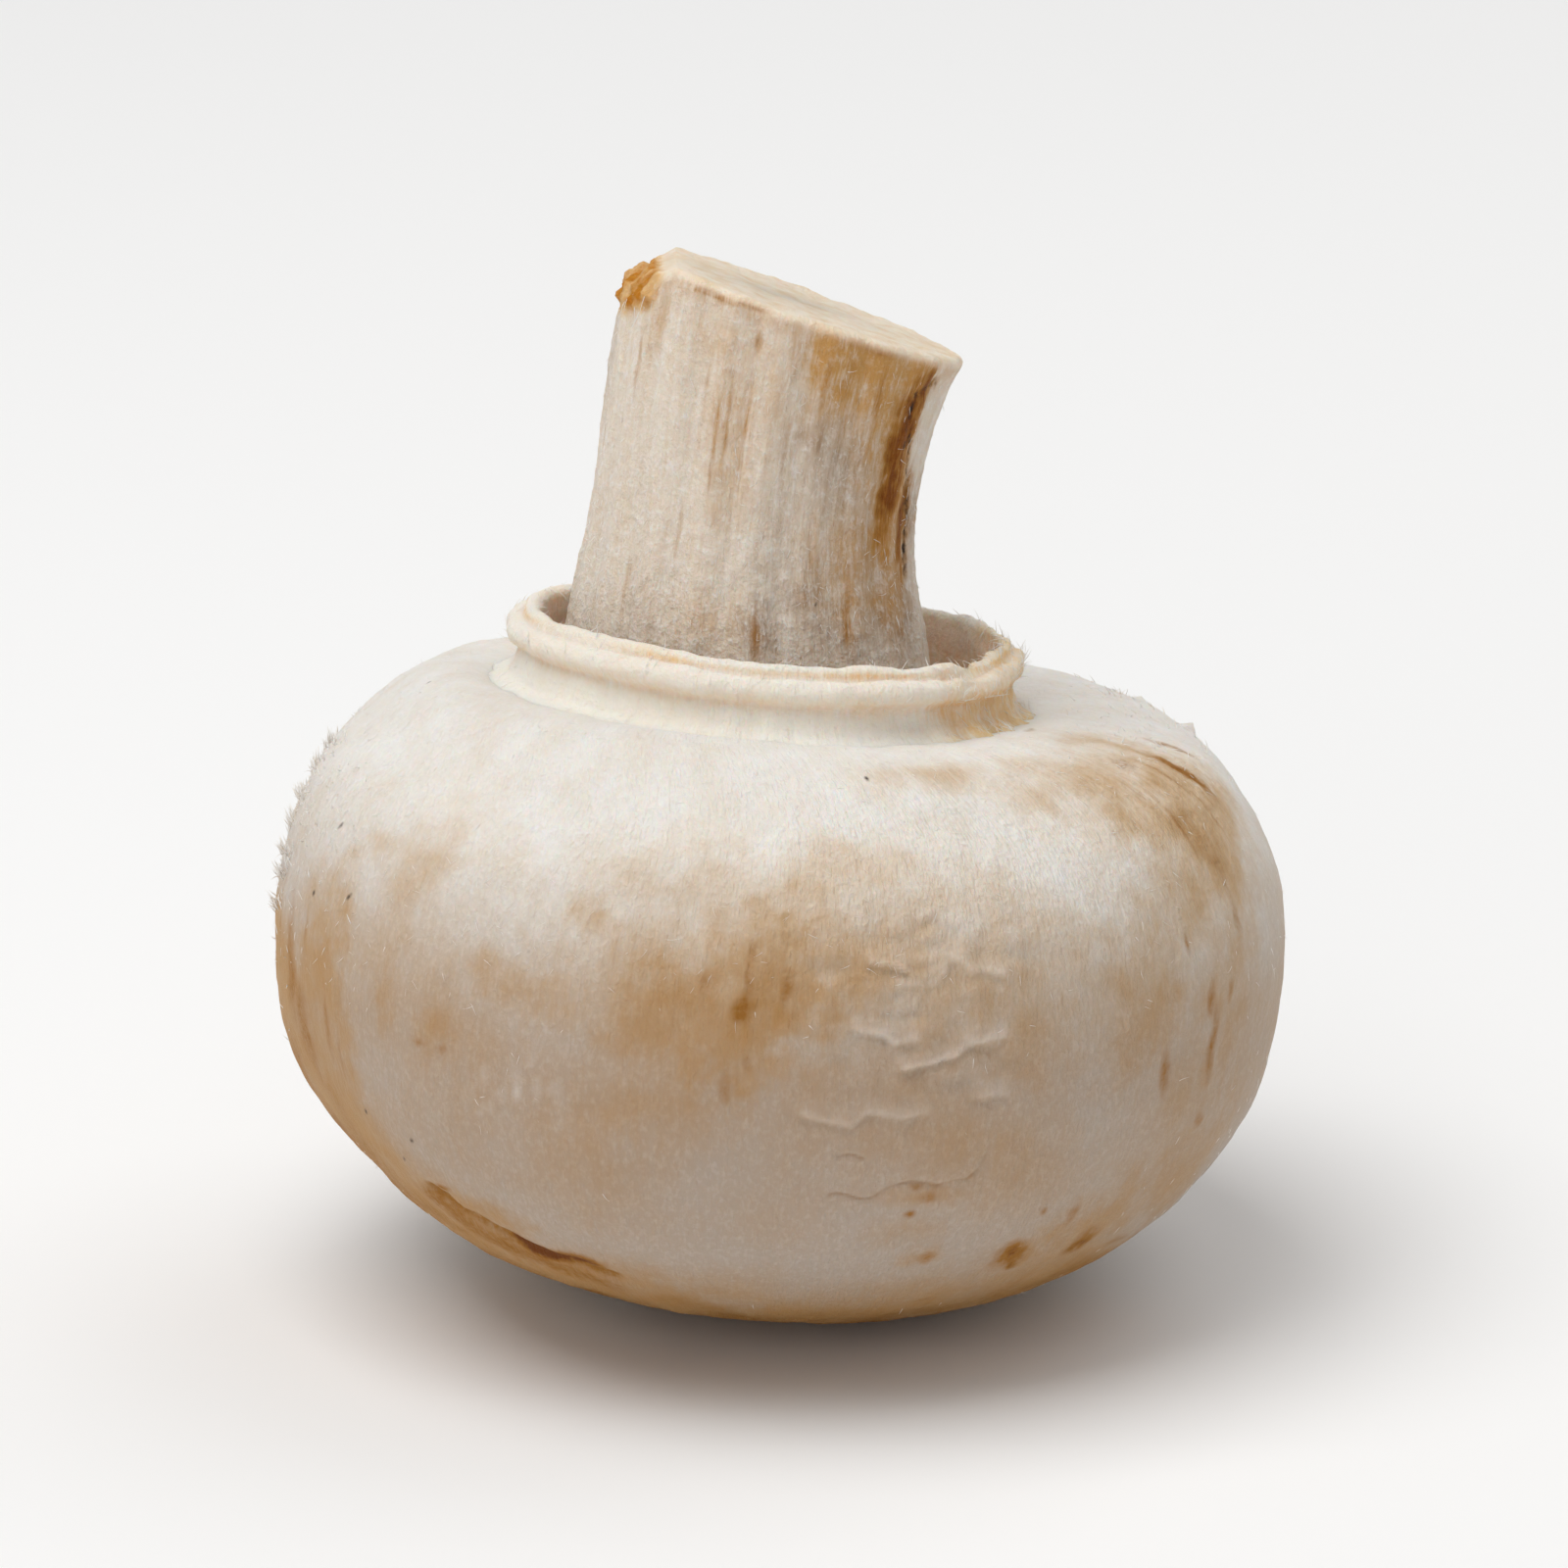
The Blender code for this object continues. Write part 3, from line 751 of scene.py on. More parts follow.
cap_skin, tree, shader = new_material("cap_skin", 0.55, GLOW_SHARE, SKIN_GLOW)
long_threads = fibre(tree, 60.0, 0.45, 1.0)
short_threads = fibre(tree, 150.0, 2.6, 5.0)
mottle = grain_noise(tree, 420.0, 5.0)
pores = grain_noise(tree, 3400.0, 3.0)
colour = mix_colours(tree, limited(tree, scaled(tree, mottle, 2.6, -0.85)), CREAM, WARM_CREAM)
# Painted shade towards the crown, with the skin's own warmer tone there.
colour = mix_colours(tree, attribute(tree, "under"), colour, UNDER_SHADE_CREAM)
whiter = added(tree, scaled(tree, short_threads, 2.4, -1.15), scaled(tree, pores, 2.6, -1.25))
colour = whitened(tree, colour, whiter, scaled(tree, attribute(tree, "under"), -0.34, 0.50))
ragged = added(tree, centred(tree, long_threads, 0.7), centred(tree, mottle, 1.5))
golden = add_node(tree, "ShaderNodeMix", {"data_type": "RGBA", "blend_type": "MULTIPLY"}, {
    0: 1.0, 6: colour, 7: GOLDEN_TINT,
})
# The tan mask holds bruises and the outline band of bruising and painted shade.
colour = stain(tree, colour, golden.outputs[2], "tan", ragged, 0.50, 0.48)
colour = stain(tree, colour, TAN, "tan", ragged, 0.90, 0.74)
grain = centred(tree, pores, 1.6)
ragged = added(tree, ragged, grain)
# The brown mask holds stains, the fold's brown and the low outline band of bruising and painted shade.
colour = stain(tree, colour, BROWN, "brown", ragged, 0.58, 0.42)
colour = stain(tree, colour, DEEP_BROWN, "brown", ragged, 1.65, 0.60)
colour = stain(tree, colour, SOIL, "dark", grain, 0.45, 0.20)
# Paler wrinkle crests are a painted highlight; the flecks are white fuzz of the skin.
colour = mix_colours(tree, scaled(tree, attribute(tree, "pale"), 0.30), colour, WHITE_THREAD)
relief = scaled(tree, short_threads, 0.9, scaled(tree, pores, 0.8))
relief = scaled(tree, long_threads, 0.8, relief)
relief = scaled(tree, relief, scaled(tree, attribute(tree, "under"), -0.9, 1.7))
dress(cap, cap_skin, shader, colour, relief, 0.8, SKIN_DEPTH)
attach(cap, "root")
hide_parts("mushroom")

# Stem: a firm column of long fibres that run up to the knife cut, streaked brown where it was handled.
# Its root grows out of the cap at the bottom of the ring gap, where it is sunk in.
STEM_BASE_RADIUS = 0.0085
STEM_WAIST_RADIUS = 0.0071
STEM_WAIST_SHARE = 0.6
STEM_CUT_RADIUS = 0.0072
STEM_TOP = 0.0455
WAIST_SHIFT = 0.0006
RIM_ROUNDING = 0.0004
CUT_SLOPE_X = -0.26
CUT_SLOPE_Y = -0.045
CHIP_START = -0.0050
CHIP_SLOPE = 0.75
FLARE = 0.0010
FLARE_REACH = 0.0022
STEM_RIB = 0.00010
STEM_RIBS = 19
RIB_FADE = 0.33
ROOT_DEPTH = 0.0010
ROOT_RING_WEIGHT = 0.05
STEM_SEGMENTS = 420
STEM_RINGS = 160

side_top = STEM_TOP - RIM_ROUNDING
shares = np.linspace(1.0, 0.0, 60)
narrowing = eased(shares / STEM_WAIST_SHARE)
widening = eased((shares - STEM_WAIST_SHARE) / (1.0 - STEM_WAIST_SHARE))
side_radius = STEM_BASE_RADIUS + (STEM_WAIST_RADIUS - STEM_BASE_RADIUS) * narrowing
side_radius += (STEM_CUT_RADIUS - STEM_WAIST_RADIUS) * widening
side_line = np.stack([side_radius, GAP_FLOOR + (side_top - GAP_FLOOR) * shares], axis=1)
rim_angles = np.radians(np.linspace(90.0, 0.0, 8))[:-1]
rim_line = np.stack([
    STEM_CUT_RADIUS - RIM_ROUNDING + RIM_ROUNDING * np.cos(rim_angles),
    side_top + RIM_ROUNDING * np.sin(rim_angles),
], axis=1)
root_line = [(STEM_BASE_RADIUS, GAP_FLOOR - ROOT_DEPTH), (0.0, GAP_FLOOR - ROOT_DEPTH)]
stem_line = np.concatenate([[(0.0, STEM_TOP)], rim_line, side_line, root_line])
ring_weights = np.ones(len(stem_line) - 1)
ring_weights[-1] = ROOT_RING_WEIGHT
stem, stem_turn, stem_length = laid_tube("stem", STEM_SEGMENTS, STEM_RINGS, stem_line, ring_weights)
stem_length -= line_lengths(stem_line)[len(rim_line)]
points = corners_of(stem)
share = (points[:, 2] - GAP_FLOOR) / (STEM_TOP - GAP_FLOOR)
radius = np.hypot(points[:, 0], points[:, 1])
edge = eased(radius / STEM_WAIST_RADIUS)
flare = FLARE * np.maximum(0.0, np.cos(stem_turn)) ** 2 * np.exp((points[:, 2] - STEM_TOP) / FLARE_REACH)
rib = STEM_RIB * np.sin(STEM_RIBS * stem_turn) * eased(share / RIB_FADE)
radius = radius + edge * (flare + rib)
x = radius * np.cos(stem_turn)
y = radius * np.sin(stem_turn)
chip = np.maximum(0.0, CHIP_START - x)
rise = CUT_SLOPE_X * x + CUT_SLOPE_Y * y - CHIP_SLOPE * chip
waist = WAIST_SHIFT * np.sin(math.pi * np.clip(share, 0.0, 1.0))
points = np.stack([x - waist, y, points[:, 2] + eased(share) * rise], axis=1)
points = leaned(off_centre(points), LEAN_RIGHT, LEAN_BACK) + CAP_PLACE
move_corners(stem, points)
stem.data.shade_smooth()
paint(stem, "flow", along_fibres(stem_turn, stem_length * MM))

SIDE_START = -0.0003
SIDE_FADE = 0.0006
TORN_START = 0.0004
TORN_FADE = 0.0007
TORN_LOW_SHARE = 0.90
TORN_SHARE_FADE = 0.06
RIBS_ROUND = 16.0
RIBS_ALONG = 0.16
RIB_HEIGHT = 0.00007
FINE_RIBS_ROUND = 44.0
FINE_RIBS_ALONG = 0.5
FINE_RIB_HEIGHT = 0.00003
SIDE_LUMPS = ((0.00005, 1300.0, (3.0, 3.0, 3.0)), (0.00003, 3300.0, NO_PLACE))
CUT_LUMPS = ((0.00010, 700.0, NO_PLACE), (0.00005, 2100.0, NO_PLACE))
TORN_LUMPS = ((0.00034, 1200.0, (4.0, 4.0, 1.0)), (0.00022, 2700.0, NO_PLACE))
skin = Skin(stem, CAP_PLACE + np.array((STEM_OFFSET, 0.0, 0.0)))
skin.across = np.full(len(skin.points), STEM_WAIST_RADIUS * MM)
ribs_place = along_fibres(stem_turn, skin.length, RIBS_ROUND, RIBS_ALONG)
fine_place = along_fibres(stem_turn, skin.length, FINE_RIBS_ROUND, FINE_RIBS_ALONG)
on_side = eased((stem_length - SIDE_START) / SIDE_FADE)
torn = eased((chip - TORN_START) / TORN_FADE) * eased((share - TORN_LOW_SHARE) / TORN_SHARE_FADE)
ribs = RIB_HEIGHT * noise_at(ribs_place, 1.0, (2.2, 0.7, 5.0)) + FINE_RIB_HEIGHT * noise_at(fine_place, 1.0)
height = on_side * ribs
height += on_side * layered(skin.points, SIDE_LUMPS)
height += (1.0 - on_side) * layered(skin.points, CUT_LUMPS)
height += torn * layered(skin.points, TORN_LUMPS)

# Marks of the stem: where in the photograph, half width and half length in millimetres, strength
STEM_TANS = (
    (994, 791, 3.2, 1.8, 1.70), (983, 799, 1.8, 2.6, 1.15), (996, 808, 1.3, 4.0, 1.20),
    (950, 812, 1.5, 3.6, 0.52), (946, 788, 2.0, 1.6, 0.50), (1000, 832, 1.3, 4.6, 1.35),
    (1008, 800, 1.0, 2.0, 1.30), (926, 776, 0.6, 1.6, 0.50), (962, 800, 0.8, 2.6, 0.50),
    (940, 870, 2.0, 1.0, 0.35), (990, 850, 2.6, 3.0, 0.70), (1000, 862, 1.4, 3.0, 0.70),
)
RUST_MARKS = (
    (995, 786, 1.9, 0.40, 0.9), (986, 793, 0.35, 1.6, 0.7), (995, 803, 0.22, 2.6, 0.8),
    (978, 798, 0.18, 2.4, 0.7), (969, 792, 0.2, 1.6, 0.5), (1001, 824, 0.8, 3.2, 2.5),
    (1010, 800, 0.6, 1.6, 2.0), (1005, 812, 0.7, 2.2, 2.4), (1002, 841, 0.7, 2.6, 2.2),
    (947, 806, 0.14, 1.8, 0.80), (953, 812, 0.12, 2.6, 0.75), (943, 816, 0.12, 2.2, 0.65),
    (940, 800, 0.16, 2.2, 0.6), (957, 784, 0.18, 0.8, 0.8), (918, 795, 0.18, 1.8, 0.6),
    (956, 878, 0.32, 1.2, 0.8), (986, 876, 0.36, 1.8, 0.8), (915, 862, 0.25, 1.6, 0.6),
    (943, 769, 1.6, 0.16, 1.0), (957, 773, 0.9, 0.14, 0.8), (965, 822, 0.22, 2.0, 0.5),
    (932, 840, 0.22, 2.0, 0.45), (974, 850, 0.25, 2.0, 0.5),
)
# Grey marks: partly the stem's own brownish-grey mottling, partly painted shade on its right flank and lower
# part.
GREY_AND_SHADE_MARKS = (
    (992, 854, 2.8, 3.8, 1.00), (972, 868, 3.2, 2.2, 0.72), (1001, 866, 2.0, 3.6, 1.10),
    (988, 826, 2.0, 3.6, 0.66), (957, 876, 0.9, 1.6, 0.85), (986, 878, 1.0, 1.6, 0.80),
    (966, 846, 1.6, 3.0, 0.40), (917, 868, 0.8, 1.6, 0.40),
)
DARK_LINE = (
    (1013, 797), (1008, 801), (1006, 806), (1005, 812), (1005, 818), (1004, 830), (1004, 842), (1004, 858),
)
DARK_LINE_WIDTH = 0.00034
SOIL_SPECKS = (
    (1008, 801, 0.24), (1006, 806, 0.22), (1004, 817, 0.26), (1003, 830, 0.18), (1004, 845, 0.26),
    (1004, 850, 0.32), (1004, 857, 0.28), (962, 772, 0.12), (1002, 838, 0.14), (975, 868, 0.09),
)
RIM_TRAIL = ((937, 768), (945, 770), (953, 772), (963, 775))
RIM_TRAIL_WIDTH = 0.00014
CUT_RIM_TAN = 0.54
CUT_RIM_REACH = 0.8
LINE_DEPTH = 0.00010
SPECK_DEPTH = 0.00006
HIDDEN_STREAKS = 46
HIDDEN_TANS = 9
HIDDEN_GREYS = 8
hidden = np.flatnonzero(~skin.facing & (skin.length > 0.3) & (skin.length < 17.0))
rust = skin.marked(RUST_MARKS)
tan = skin.marked(STEM_TANS)
# Greyer further down the stem: partly its own tone, partly painted shade.
grey_and_shade = 0.16 * eased((skin.length - 4.0) / 12.0) * (1.0 + 0.9 * noise_at(ribs_place, 0.6, (1.0, 7.0, 3.0)))
grey_and_shade = np.maximum(grey_and_shade, skin.marked(GREY_AND_SHADE_MARKS))
for _ in range(HIDDEN_STREAKS):
    corner = chance.choice(hidden)
    strength = chance.uniform(0.45, 0.95)
    rust = np.maximum(rust, strength * skin.blot(corner, *chance.uniform((0.2, 0.8), (0.6, 2.6))))
tan = np.maximum(tan, skin.strewn(HIDDEN_TANS, hidden, (0.5, 1.1), (0.8, 3.4)))
grey_and_shade = np.maximum(grey_and_shade, skin.strewn(HIDDEN_GREYS, hidden, (0.5, 0.9), (2.0, 4.5)))
line = skin.ridge(DARK_LINE, DARK_LINE_WIDTH)
rust = np.maximum(rust, 1.1 * skin.ridge(RIM_TRAIL, RIM_TRAIL_WIDTH))
specks = np.zeros(len(skin.points))
for x, y, size in SOIL_SPECKS:
    specks = np.maximum(specks, skin.blot(skin.corner_at((x, y)), size * 0.7, size * 1.3))
tan_under_rim = CUT_RIM_TAN * np.exp(-((skin.length / CUT_RIM_REACH) ** 2)) * on_side
paint(stem, "rust", np.maximum(rust, line))
paint(stem, "grey_and_shade", grey_and_shade)
paint(stem, "tan", np.maximum(tan, tan_under_rim))
paint(stem, "dark", np.maximum(specks, 0.62 * line))
paint(stem, "cut", 1.0 - on_side)
paint(stem, "torn", torn)
height -= LINE_DEPTH * line + SPECK_DEPTH * specks
move_corners(stem, skin.points + skin.normals * height[:, None])

STEM_DEPTH = 0.00018
STEM_PALE = (0.85, 0.765, 0.665, 1.0)
STEM_WARM = (0.78, 0.65, 0.51, 1.0)
STEM_TAN = (0.60, 0.335, 0.115, 1.0)
# Brownish grey: partly the stem's own, partly painted shade.
STEM_GREY_AND_SHADE = (0.31, 0.195, 0.125, 1.0)
RUST = (0.47, 0.220, 0.042, 1.0)
DEEP_RUST = (0.23, 0.066, 0.004, 1.0)
CUT_FLESH = (0.89, 0.775, 0.63, 1.0)
CUT_TAN = (0.80, 0.60, 0.38, 1.0)
CHIP_CREAM = (0.82, 0.58, 0.30, 1.0)
CHIP_ORANGE = (0.50, 0.195, 0.014, 1.0)

stem_skin, tree, shader = new_material("stem_skin", 0.60, GLOW_SHARE, SKIN_GLOW)
streaks = fibre(tree, 24.0, 0.34, 2.0)
short_threads = fibre(tree, 70.0, 1.3, 7.0)
frost = fibre(tree, 62.0, 5.0, 11.0)
mottle = grain_noise(tree, 900.0, 4.0)
pores = grain_noise(tree, 3600.0, 3.0)
colour = mix_colours(tree, limited(tree, scaled(tree, streaks, 2.2, -0.70)), STEM_PALE, STEM_WARM)
ragged = added(tree, centred(tree, streaks, 1.3), centred(tree, short_threads, 1.5))
ragged = added(tree, ragged, centred(tree, mottle, 1.4))
# The grey mask holds the stem's brownish-grey mottling and painted shade on its right flank and lower part.
colour = stain(tree, colour, STEM_GREY_AND_SHADE, "grey_and_shade", ragged, 0.66, 0.64)
colour = stain(tree, colour, STEM_TAN, "tan", ragged, 0.62, 0.60)
wool = grain_noise(tree, 2300.0, 5.0)
whiter = added(tree, scaled(tree, frost, 3.0, -1.55), scaled(tree, wool, 3.4, -1.66))
colour = whitened(tree, colour, whiter, scaled(tree, limited(tree, attribute(tree, "tan")), -0.30, 0.56))
colour = stain(tree, colour, RUST, "rust", ragged, 0.66, 0.46)
colour = stain(tree, colour, DEEP_RUST, "rust", ragged, 1.45, 0.70)
cut_colour = mix_colours(tree, limited(tree, scaled(tree, mottle, 3.0, -1.25)), CUT_FLESH, CUT_TAN)
colour = mix_colours(tree, attribute(tree, "cut"), colour, cut_colour)
grain = centred(tree, pores, 3.0)
clotted = centred(tree, mottle, 4.0)
colour = stain(tree, colour, CHIP_CREAM, "torn", grain, 0.30, 0.30)
colour = stain(tree, colour, CHIP_ORANGE, "torn", clotted, 0.72, 0.55)
colour = stain(tree, colour, SOIL, "dark", grain, 0.70, 0.30)
relief = scaled(tree, short_threads, 0.6, scaled(tree, pores, 0.6))
relief = scaled(tree, wool, 1.2, scaled(tree, frost, 0.9, relief))
dress(stem, stem_skin, shader, colour, relief, 0.9, STEM_DEPTH)
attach(stem, "root")
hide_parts("mushroom")

# Collar: what stayed of the veil, the skin that joined cap and stem until it tore. Its edge rolled back
# into two soft lips, and its wall stands on the cap's margin, where its foot is sunk in.
COLLAR_INNER_RADIUS = 0.0101
COLLAR_RADIUS = COLLAR_INNER_RADIUS + 0.00085
COLLAR_HEIGHT = 0.0028
COLLAR_SHIFT = 0.0004
INNER_LIP_RADIUS = 0.00038
OUTER_LIP_RADIUS = 0.00056
OUTER_LIP_DROP = 0.00066
COLLAR_WAVE = 0.00018
COLLAR_WAVES = ((2.0, 0.5, 1.0), (5.0, 1.0, 0.6))
COLLAR_WAVE_RISE = 0.5
LIP_DEPTH = 0.0014
LIP_FADE = 0.0006
LIP_LUMPS = ((0.00020, 400.0, (1.0, 2.0, 3.0)), (0.00008, 1500.0, NO_PLACE))
WALL_FIBRES_ROUND = 36.0
WALL_FIBRES_ALONG = 0.5
WALL_LUMPS = ((0.00006, 1.0, NO_PLACE), (0.00013, 0.28, (6.0, 2.0, 1.0)))
FRAY_TURN = math.radians(-12.0)
FRAY_HEIGHT = 0.00024
FRAY_LOSS = 0.00014
COLLAR_SEGMENTS = 256
COLLAR_RINGS = 112

lip_height = MARGIN_TOP + COLLAR_HEIGHT


def lip_arc(middle, size, start, end, count):
    """Points round a rolled lip, between two angles in degrees."""
    angles = np.radians(np.linspace(start, end, count))
    return np.stack([middle[0] + size * np.cos(angles), middle[1] + size * np.sin(angles)], axis=1)


collar_line = np.concatenate([
    [(COLLAR_INNER_RADIUS - 0.0001, GAP_FLOOR - 0.0006),
     (COLLAR_INNER_RADIUS + 0.00005, (GAP_FLOOR + lip_height) / 2)],
    lip_arc((COLLAR_INNER_RADIUS + INNER_LIP_RADIUS, lip_height + 0.00006), INNER_LIP_RADIUS, 190, 0, 20),
    lip_arc((COLLAR_RADIUS + 0.00008, lip_height - OUTER_LIP_DROP), OUTER_LIP_RADIUS, 100, -80, 20),
    [(COLLAR_RADIUS - 0.00003, lip_height - 0.0014), (COLLAR_RADIUS + 0.00006, MARGIN_TOP + 0.0010),
     (COLLAR_RADIUS + 0.00018, MARGIN_TOP + 0.0006), (COLLAR_RADIUS + 0.00042, MARGIN_TOP + 0.00026),
     (COLLAR_RADIUS + 0.00080, MARGIN_TOP + 0.00006), (COLLAR_RADIUS + 0.0013, MARGIN_TOP - 0.00014),
     (COLLAR_RADIUS + 0.0010, MARGIN_TOP - 0.0008), (COLLAR_INNER_RADIUS - 0.0001, GAP_FLOOR - 0.0006)],
])
bpy.ops.object.select_all(action="DESELECT")
bpy.ops.mesh.primitive_torus_add(
    major_segments=COLLAR_SEGMENTS, minor_segments=COLLAR_RINGS, major_radius=2.0, minor_radius=1.0
)
collar = bpy.context.object
collar.name = "collar"
collar.data.name = "collar"
start = corners_of(collar)
collar_turn = np.arctan2(start[:, 1], start[:, 0])
round_angle = np.arctan2(start[:, 2], np.hypot(start[:, 0], start[:, 1]) - 2.0)
round_share = (-round_angle / (2.0 * math.pi) - 0.4) % 1.0
share = line_lengths(collar_line)
radius = np.interp(round_share, share / share[-1], collar_line[:, 0])
height = np.interp(round_share, share / share[-1], collar_line[:, 1])
collar_length = round_share * share[-1]
collar_height = height
collar_radius = radius
wave = COLLAR_WAVE * sum(part * np.sin(count * collar_turn + begin) for count, begin, part in COLLAR_WAVES)
lift = eased((height - MARGIN_TOP + 0.0004) / 0.0012)
radius = radius + wave * lift
points = np.stack([radius * np.cos(collar_turn) + COLLAR_SHIFT, radius * np.sin(collar_turn), height], axis=1)
points[:, 2] += COLLAR_WAVE_RISE * wave * lift
points = leaned(off_centre(points), LEAN_RIGHT, LEAN_BACK) + CAP_PLACE
move_corners(collar, points)
collar.data.shade_smooth()
paint(collar, "flow", along_fibres(collar_turn, collar_length * MM))
normals = vectors_of(collar.data.vertex_normals)
on_lips = eased((height - (lip_height - LIP_DEPTH)) / LIP_FADE)
frayed = eased((np.cos(collar_turn - FRAY_TURN) - 0.74) / 0.20)
push = on_lips * layered(points, LIP_LUMPS)
wall_place = along_fibres(collar_turn, collar_length * MM, WALL_FIBRES_ROUND, WALL_FIBRES_ALONG)
push += (1.0 - on_lips) * layered(wall_place, WALL_LUMPS)
push += frayed * (FRAY_HEIGHT * noise_at(points, 1100.0, (7.0, 7.0, 2.0)) - FRAY_LOSS * on_lips)
points += normals * push[:, None]
move_corners(collar, points)
# Tan in the hollow inside the collar, under the outer lip and in the groove between the lips: painted shade.
hollow = eased(1.25 - (height - GAP_FLOOR) / 0.0048) * (radius < COLLAR_INNER_RADIUS + 0.0004)
under_lip_shade = np.exp(-(((height - (lip_height - 0.00125)) / 0.0004) ** 2)) * (radius > COLLAR_RADIUS - 0.0002)
groove_shade = np.exp(-((np.hypot(radius - COLLAR_RADIUS + 0.0001, height - lip_height - 0.0001) / 0.00016) ** 2))
lip_stains = 0.12 * on_lips * eased(0.2 + 1.5 * noise_at(points, 330.0, (5.0, 5.0, 8.0)))
base_tan = 0.10 - 0.08 * on_lips + 0.22 * noise_at(points, 260.0, (1.0, 8.0, 5.0))
# Dried tan on the frayed part; painted shade in the hollow, under the lip and in the groove.
dried_and_shaded = 0.7 * hollow + 0.50 * under_lip_shade + 1.2 * frayed * (1.0 - 0.5 * on_lips) + 1.1 * groove_shade
paint(collar, "tan", base_tan + lip_stains + dried_and_shaded)
paint(collar, "lip", on_lips * (1.0 - 0.6 * frayed))

VEIL_GLOW = 0.0010
VEIL_DEPTH = 0.00022
LIP_CREAM = (0.86, 0.805, 0.72, 1.0)
# The wall's cream is lighter than the lips' to make up for the shade under the lips: painted light.
LIGHTENED_WALL_CREAM = (0.92, 0.865, 0.775, 1.0)
VEIL_TAN = (0.82, 0.57, 0.30, 1.0)

veil, tree, shader = new_material("veil", 0.7, GLOW_SHARE, VEIL_GLOW)
wall_threads = fibre(tree, 60.0, 0.8, 3.0)
fluff = grain_noise(tree, 3200.0, 5.0)
blotches = grain_noise(tree, 700.0, 3.0)
colour = mix_colours(tree, attribute(tree, "lip"), LIGHTENED_WALL_CREAM, LIP_CREAM)
ragged = added(tree, centred(tree, wall_threads, 2.2), centred(tree, blotches, 2.0))
# The tan mask holds the dried, frayed veil and painted shade in the hollow, under the lip and in the groove.
colour = stain(tree, colour, VEIL_TAN, "tan", ragged, 0.72, 0.68)
colour = whitened(tree, colour, scaled(tree, fluff, 3.4, -1.65), 0.4)
dress(collar, veil, shader, colour, scaled(tree, wall_threads, 0.7, fluff), 0.9, VEIL_DEPTH)
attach(collar, "root")
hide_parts("mushroom")

# Fuzz: loose ends of the flesh's own threads, no thicker than a hair and at most 1.4 mm long. They lie along
# the skin and stand up where it was brushed. One thread is modelled, and then copied to each of its roots.
THREAD_TAPER = (0.9, 0.75, 0.35)
THREAD_CURL = 0.28
THREAD_SAG = 0.30
ROOT_SUNK = 0.00004
ROOT_SPREAD = 0.00015
bpy.ops.object.select_all(action="DESELECT")
bpy.ops.mesh.primitive_circle_add(vertices=3, radius=1.0, fill_type="NGON")
thread = bpy.context.object
bpy.ops.object.mode_set(mode="EDIT")
bpy.ops.mesh.select_all(action="SELECT")
for size in THREAD_TAPER:
    bpy.ops.mesh.extrude_region_move(TRANSFORM_OT_translate={"value": (0.0, 0.0, 1.0 / len(THREAD_TAPER))})
    bpy.ops.transform.resize(value=(size, size, 1.0))
bpy.ops.mesh.select_all(action="SELECT")
bpy.ops.mesh.normals_make_consistent(inside=False)
bpy.ops.mesh.quads_convert_to_tris()
bpy.ops.object.mode_set(mode="OBJECT")
THREAD_CORNERS = corners_of(thread)
THREAD_FACES = np.array([tuple(face.vertices) for face in thread.data.polygons])
bpy.data.objects.remove(thread)

FUZZ_GLOW = 0.0002
FUZZ_CREAM = (0.92, 0.895, 0.86, 1.0)
FUZZ_TAN = (0.80, 0.70, 0.57, 1.0)

fuzz_threads, tree, shader = new_material("fuzz_threads", 0.6, 0.0, FUZZ_GLOW)
tint = scaled(tree, grain_noise(tree, 900.0), 3.4, -1.65)
tree.links.new(mix_colours(tree, limited(tree, tint), FUZZ_CREAM, FUZZ_TAN), shader.inputs["Base Color"])


def unit(ways):
    """Each way at a length of 1."""
    return ways / np.linalg.norm(ways, axis=1)[:, None]


def corner_areas(piece):
    """How much of the piece's surface each corner stands for."""
    areas = np.zeros(len(piece.data.vertices))
    for face in piece.data.polygons:
        for corner in face.vertices:
            areas[corner] += face.area / len(face.vertices)
    return areas


